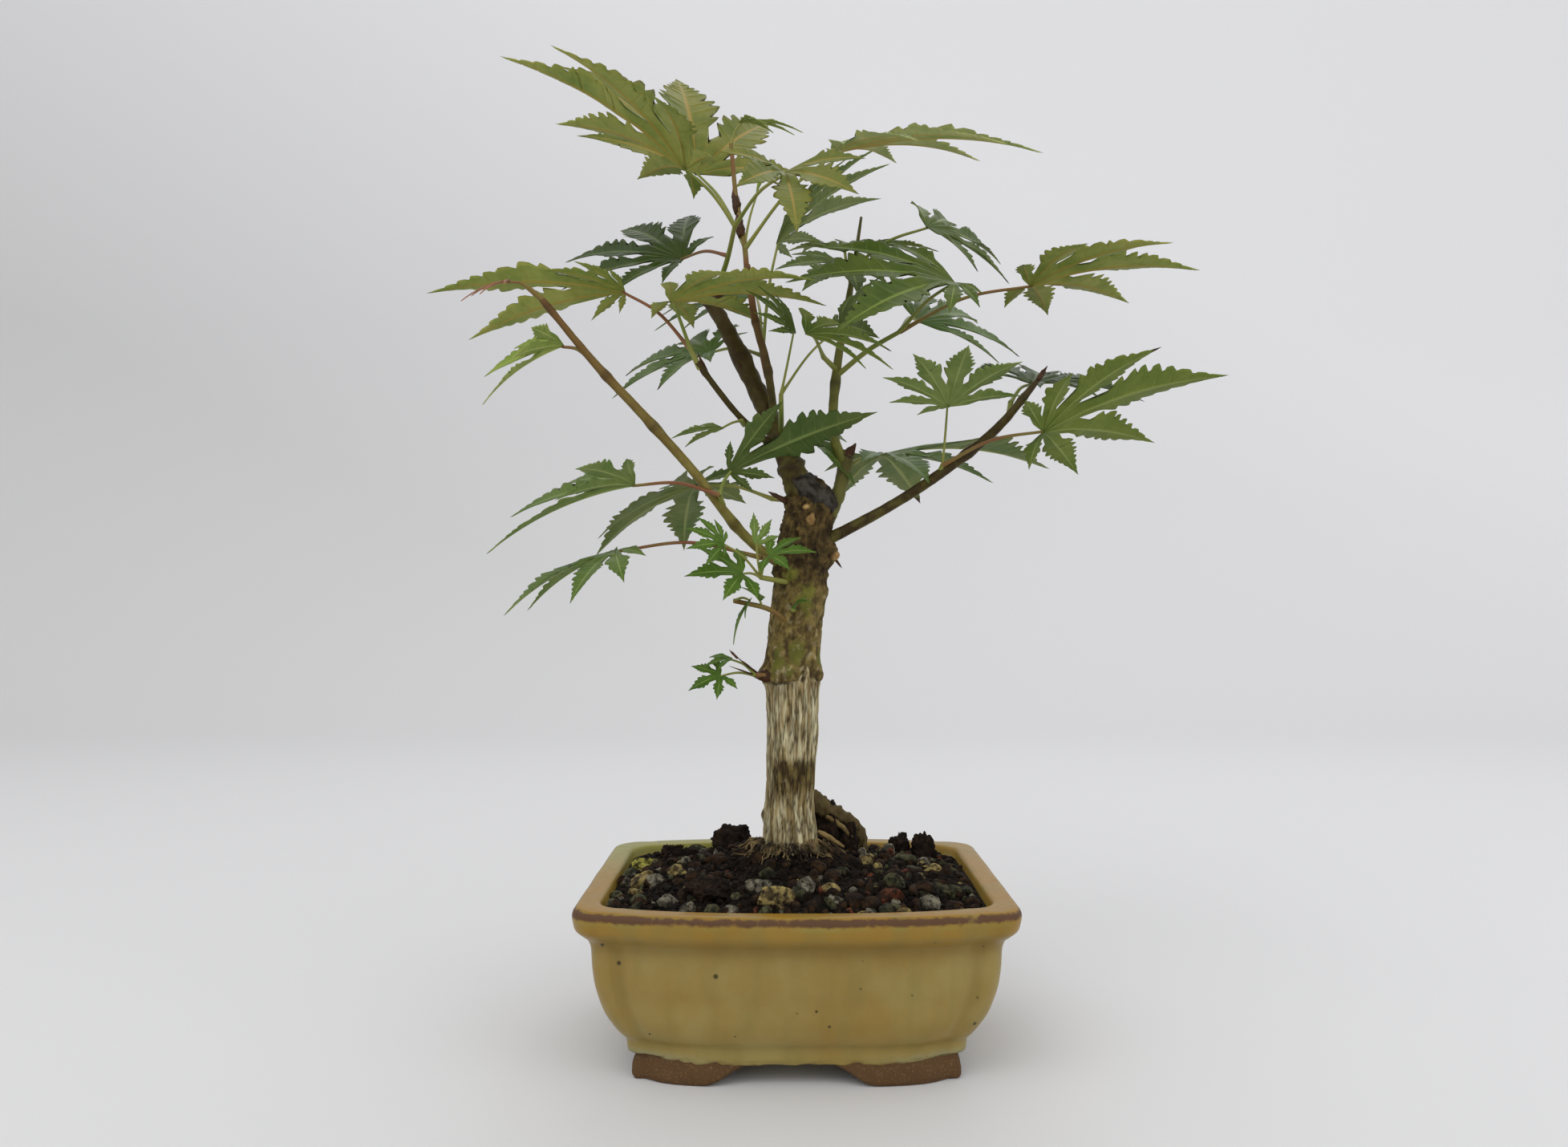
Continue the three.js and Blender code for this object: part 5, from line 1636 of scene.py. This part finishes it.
def lobe_rows(lobe, foot, upward, sinuses, settings, dice, slim):
    """Rows of points across one lobe from the leaf's foot to its tip, with how much each shows of a
    vein and how dry it is.

    sinuses are the points where the lobe parts from its neighbours, on its left and right. slim is
    what its width is multiplied by.
    """
    sideways = lobe.normal.cross(lobe.along)
    size = lobe.length
    lift = lobe.normal * upward
    teeth = settings.teeth if size > SMALL_BLADE else max(4, settings.teeth - 3)
    widest = min(LOBE_HALF_WIDTH, WIDE_AT * math.tan(lobe.step / 2) * LOBE_SPREAD) * slim
    wave, droop = dice.uniform(0, math.tau), dice.uniform(0.4, 1.4)

    def spot(share, across):
        arch = BLADE_ARCH * 4 * share * (1 - share) * size
        ripple = RIPPLE * size * math.sin(share * 13 + wave) * (across / (widest * size)) ** 2
        return foot + lobe.along * share * size + sideways * across + lift * (
            arch + BLADE_FOLD * abs(across) + ripple * droop
        )

    rows, veins = [], []
    for step in range(BASE_ROWS + 1):
        part = step / BASE_ROWS
        centre = spot(SINUS_REACH * 0.95 * part, 0)
        row = []
        for column in COLUMNS:
            edge = foot.lerp(sinuses[0 if column < 0 else 1], part)
            belly = lift * 0.02 * size * part * abs(column) * (1 - abs(column)) * 4
            row.append(centre.lerp(edge, abs(column)) + belly)
        rows.append(row)
        veins.append([0 if part < 0.1 else share for share in RIB_SHARES])
    # Teeth are longest in the middle of a lobe and uneven all along it
    lengths = [dice.uniform(0.5, 1.5) * (1.2 - 0.5 * tooth / teeth) for tooth in range(teeth)]
    starts = [sum(lengths[:tooth]) / sum(lengths) for tooth in range(teeth)]
    for tooth in range(teeth):
        pitch = (TEETH_END - TEETH_START) * lengths[tooth] / sum(lengths)
        # Teeth on a lobe's two sides are cut apart, each to a depth of its own
        cuts = [settings.tooth_depth * dice.uniform(0.5, 1.5) for _ in range(2)]
        for forward, depth, vein in TOOTH:
            share = TEETH_START + (TEETH_END - TEETH_START) * starts[tooth] + pitch * forward
            half = half_width(min(share, 0.995), widest) * size
            row = []
            for column in COLUMNS:
                cut = 1 - cuts[column > 0] * (1 - depth) * abs(column) ** 4
                # Side veins run out and forward, so each row is swept forward to its edge
                swept = share + ROW_SWEEP * half / size * abs(column) * (1 - share) ** 0.7
                swept += 0.5 * pitch * (1 - share) * (column > 0)
                ridge = VEIN_SINK * (vein - 1) * size * 4 * abs(column) * (1 - abs(column))
                row.append(spot(min(swept, 0.998), column * half * cut) + lift * ridge)
            rows.append(row)
            veins.append([max(rib, 0.55 * vein * (1 - abs(c))) for rib, c in zip(RIB_SHARES, COLUMNS)])
    rows.append([spot(1, 0)] * len(COLUMNS))
    veins.append([0] * len(COLUMNS))
    return rows, veins, dry_marks(rows, size, dice)


def sinuses_of(lobes, foot, upward):
    """The points where a leaf's lobes part, with one beyond each of its outer lobes."""
    sinuses = []
    for first, second in zip(lobes, lobes[1:]):
        reach = SINUS_REACH * min(first.length, second.length)
        along = (first.along + second.along).normalized()
        rise = (first.normal + second.normal).normalized() * upward
        height = reach * (BLADE_ARCH * 4 * 0.7 + BLADE_FOLD * math.sin(first.step / 2))
        sinuses.append(foot + along * reach + rise * height)
    for lobe, hand in ((lobes[0], -1), (lobes[-1], 1)):
        reach = SINUS_REACH * 0.9 * lobe.length
        along = Matrix.Rotation(hand * lobe.step * 0.5, 3, lobe.normal) @ lobe.along
        edge = foot + along * reach + lobe.normal * upward * reach * BLADE_FOLD * 0.6
        sinuses.insert(0 if hand < 0 else len(sinuses), edge)
    return sinuses


def add_blade(draft, spec, settings, slots):
    """Adds one leaf blade: two skins that meet in its toothed edge, with raised midribs below."""
    lobes = lobes_of(spec)
    foot = Vector(spec.foot)
    dice = random.Random(str(spec.foot))
    upward = 1 if lobes[len(lobes) // 2].normal.z >= 0 else -1
    sinuses = sinuses_of(lobes, foot, upward)
    thickness = settings.thickness / MM
    for index, lobe in enumerate(lobes):
        around = (sinuses[index], sinuses[index + 1])
        slim = 0.45 if spec.tint == "red" else 1
        rows, veins, dries = lobe_rows(lobe, foot, upward, around, settings, dice, slim)
        outline = len(COLUMNS) - 1
        count = len(rows)
        points, faces, face_slots = [], [], []
        for skin in (1, -1):
            for level, row in enumerate(rows):
                share = level / (count - 1)
                for column, point in enumerate(row):
                    inside = 0 < column < outline and level < count - 1
                    seam = level < BASE_ROWS and level > 0
                    offset = thickness / 2 if inside or seam else 0
                    if skin < 0 and abs(COLUMNS[column]) < 0.05 and inside:
                        offset += 0.008 * lobe.length * (1 - share)
                    points.append(point + lobe.normal * upward * skin * offset)
        for skin in (0, 1):
            for level in range(count - 1):
                for column in range(outline):
                    a = (skin * count + level) * len(COLUMNS) + column
                    b = a + len(COLUMNS)
                    faces.append((a, a + 1, b + 1, b) if skin else (a, b, b + 1, a + 1))
                    face_slots.append(slots[skin])
        vein, dry = ([value for row in table for value in row] for table in (veins, dries))
        draft.add(points, faces, face_slots, vein=vein * 2, dry=dry * 2)


def leaf_material(name, side, tone, vein_tone):
    """A maple leaf's skin: satin above and duller below, faintly mottled between its veins."""
    roughness = 0.48 if side == "upper" else 0.62
    material, tree, shader, place = start_material(f"{name}_leaf_{side}", roughness)
    cells, clouds = (
        add_node(tree, "ShaderNodeTexNoise", {"Vector": place, "Scale": scale, "Detail": detail})
        for scale, detail in ((420, 4), (55, 2))
    )
    cell = cells.outputs["Fac"]
    inputs = {0: cell, 1: 0.45, 2: clouds.outputs["Fac"]}
    both = add_node(tree, "ShaderNodeMath", inputs, operation="MULTIPLY_ADD").outputs[0]
    share = add_node(tree, "ShaderNodeMapRange", {0: both, 1: 0.5, 2: 0.95}).outputs[0]
    # The darker mottling is greener and the lighter is browner than the skin's own colour
    darker, lighter = (
        (*(part * change for part, change in zip(colour(tone), changes)), 1)
        for changes in ((0.62, 0.76, 0.6), (1.26, 1.16, 1.24))
    )
    layers = ((share, lighter), ("vein", vein_tone), ("dry", "3a2415"))
    finish_surface(tree, shader, darker, layers, (0.3, 0.0002, cell))
    return material


class MAPLE_OT_leaves(bpy.types.Operator):
    """Make the leaf blades"""

    bl_idname = "maple.leaves"
    bl_label = "Leaves"

    def execute(self, context):
        materials, numbers = [], {}
        for tint, (upper, under, vein_above, vein_below) in LEAF_TINTS.items():
            numbers[tint] = (len(materials), len(materials) + 1)
            materials.append(leaf_material(tint, "upper", upper, vein_above))
            materials.append(leaf_material(tint, "under", under, vein_below))
        for name, groups in LEAF_PIECES.items():
            draft = MeshDraft("vein", "dry")
            for group in groups:
                for spec in FOLIAGE[group][1:]:
                    add_blade(draft, spec, context.scene.maple_leaves, numbers[spec.tint])
            seat(draft.build(name, materials, merge=0.002), "leaf", *groups)
        return {"FINISHED"}


# Stage


class StageSettings(bpy.types.PropertyGroup):
    """The floor, the light and the camera."""

    floor: tone_property("Floor", "Colour of the floor", "d6d6d8")
    light: FloatProperty(name="Light", description="Strength of the studio lights", default=1, min=0)
    focal_length: FloatProperty(
        name="Focal length", description="Focal length of the camera, in millimetres",
        default=27.25, min=1,
    )


CAMERA_PLACE = (-4, -422.6, 152)
CAMERA_PITCH = math.radians(1.316)
# The floor, in metres: how far it reaches, where it sweeps up and the radius of the sweep
FLOOR_REACH, SWEEP_FROM, SWEEP_RADIUS = 3.0, 0.9, 0.6
LIGHT_AIM = (0, 0, 0.16)


class MAPLE_OT_stage(bpy.types.Operator):
    """Set up the floor, the soft studio light and the camera"""

    bl_idname = "maple.stage"
    bl_label = "Stage"

    def execute(self, context):
        settings = context.scene.maple_stage
        self.make_floor(context, settings)
        self.make_lights(context, settings)
        data = bpy.data.cameras.new("camera")
        data.lens = settings.focal_length
        data.sensor_width = 36
        data.clip_start = 0.01
        camera = bpy.data.objects.new("camera", data)
        camera.location = ORIGIN + Vector(CAMERA_PLACE) * MM
        camera.rotation_euler = (math.pi / 2 + CAMERA_PITCH, 0, 0)
        context.collection.objects.link(camera)
        context.scene.camera = camera
        # The colours are matched to the object under a plain display curve
        context.scene.view_settings.view_transform = "Standard"
        return {"FINISHED"}

    @staticmethod
    def make_floor(context, settings):
        """A pale floor that sweeps up behind into a wall, with painted light that makes it lighter at the
        top and the right.
        """
        material, tree, shader, place = start_material("studio_sweep", 0.9)
        # Painted light: the sweep's colour brightens towards the top and the right
        aim = {0: place, 1: (0.5, 0, 1)}
        across = add_node(tree, "ShaderNodeVectorMath", aim, operation="DOT_PRODUCT").outputs["Value"]
        share = add_node(tree, "ShaderNodeMapRange", {0: across}).outputs[0]
        finish_surface(tree, shader, tuple(settings.floor), ((share, "f0f0f4"),))
        profile = [(-FLOOR_REACH, 0), (SWEEP_FROM, 0)]
        for turn in np.linspace(0.1, math.pi / 2, 14):
            out, up = math.sin(turn), 1 - math.cos(turn)
            profile.append((SWEEP_FROM + SWEEP_RADIUS * out, SWEEP_RADIUS * up))
        profile.append((SWEEP_FROM + SWEEP_RADIUS, FLOOR_REACH))
        points = [(x, y, z) for y, z in profile for x in (-FLOOR_REACH, FLOOR_REACH)]
        faces = [(2 * i, 2 * i + 1, 2 * i + 3, 2 * i + 2) for i in range(len(profile) - 1)]
        mesh = bpy.data.meshes.new("floor")
        mesh.from_pydata(points, [], faces)
        mesh.materials.append(material)
        mesh.polygons.foreach_set("use_smooth", [True] * len(faces))
        floor = bpy.data.objects.new("floor", mesh)
        context.collection.objects.link(floor)

    @staticmethod
    def make_lights(context, settings):
        """A wide light above, a softer one at each side, and an even pale surround."""
        world = bpy.data.worlds.new("surround")
        world.use_nodes = True
        world.node_tree.nodes["Background"].inputs["Color"].default_value = colour("ebebe9")
        world.node_tree.nodes["Background"].inputs["Strength"].default_value = 1.0 * settings.light
        context.scene.world = world
        for name, place, size, power in (
            ("key", (-0.5, -0.7, 1.1), 0.9, 4.0),
            ("fill", (0.8, -0.6, 0.7), 0.8, 1.6),
            ("back", (0.1, 0.7, 1.0), 0.8, 2.0),
        ):
            data = bpy.data.lights.new(name, "AREA")
            data.size = size
            data.energy = power * settings.light
            light = bpy.data.objects.new(name, data)
            light.location = place
            aim = Vector(LIGHT_AIM) - Vector(place)
            light.rotation_euler = aim.to_track_quat("-Z", "Y").to_euler()
            context.collection.objects.link(light)


class MAPLE_PT_panel(bpy.types.Panel):
    """Lists the pieces of the potted maple."""

    bl_idname = "MAPLE_PT_panel"
    bl_label = "Potted Maple Bonsai"
    bl_space_type = "VIEW_3D"
    bl_region_type = "UI"
    bl_category = "Maple"

    def draw(self, context):
        for title, group, operators in PANEL_ROWS:
            box = self.layout.box()
            box.label(text=title)
            settings = getattr(context.scene, group)
            for name in settings.__annotations__:
                box.prop(settings, name)
            for operator in operators:
                box.operator(operator.bl_idname)


PANEL_ROWS = (
    ("Stage", "maple_stage", (MAPLE_OT_stage,)),
    ("Pot", "maple_pot", (MAPLE_OT_pot, MAPLE_OT_feet)),
    ("Soil", "maple_soil", (MAPLE_OT_soil, MAPLE_OT_grit, MAPLE_OT_large_stones)),
    (
        "Trunk", "maple_trunk",
        (MAPLE_OT_trunk, MAPLE_OT_rootlets, MAPLE_OT_wound_seal, MAPLE_OT_boughs, MAPLE_OT_buds),
    ),
    ("Leaves", "maple_leaves", (MAPLE_OT_stalks, MAPLE_OT_leaves)),
)
SETTINGS = {
    "maple_pot": PotSettings,
    "maple_soil": SoilSettings,
    "maple_trunk": TrunkSettings,
    "maple_leaves": LeafSettings,
    "maple_stage": StageSettings,
}
OPERATORS = [operator for _, _, operators in PANEL_ROWS for operator in operators]


def register():
    for group in SETTINGS.values():
        bpy.utils.register_class(group)
    for name, group in SETTINGS.items():
        setattr(bpy.types.Scene, name, PointerProperty(type=group))
    for item in (*OPERATORS, MAPLE_PT_panel):
        bpy.utils.register_class(item)


def unregister():
    for item in (MAPLE_PT_panel, *reversed(OPERATORS)):
        bpy.utils.unregister_class(item)
    for name in SETTINGS:
        delattr(bpy.types.Scene, name)
    for group in reversed(SETTINGS.values()):
        bpy.utils.unregister_class(group)


def main():
    register()
    bpy.ops.maple.stage()
    bpy.ops.maple.pot()
    bpy.ops.maple.feet()
    bpy.ops.maple.soil()
    bpy.ops.maple.grit()
    bpy.ops.maple.large_stones()
    bpy.ops.maple.trunk()
    bpy.ops.maple.rootlets()
    bpy.ops.maple.wound_seal()
    bpy.ops.maple.boughs()
    bpy.ops.maple.buds()
    bpy.ops.maple.stalks()
    bpy.ops.maple.leaves()


if __name__ == "__main__":
    main()
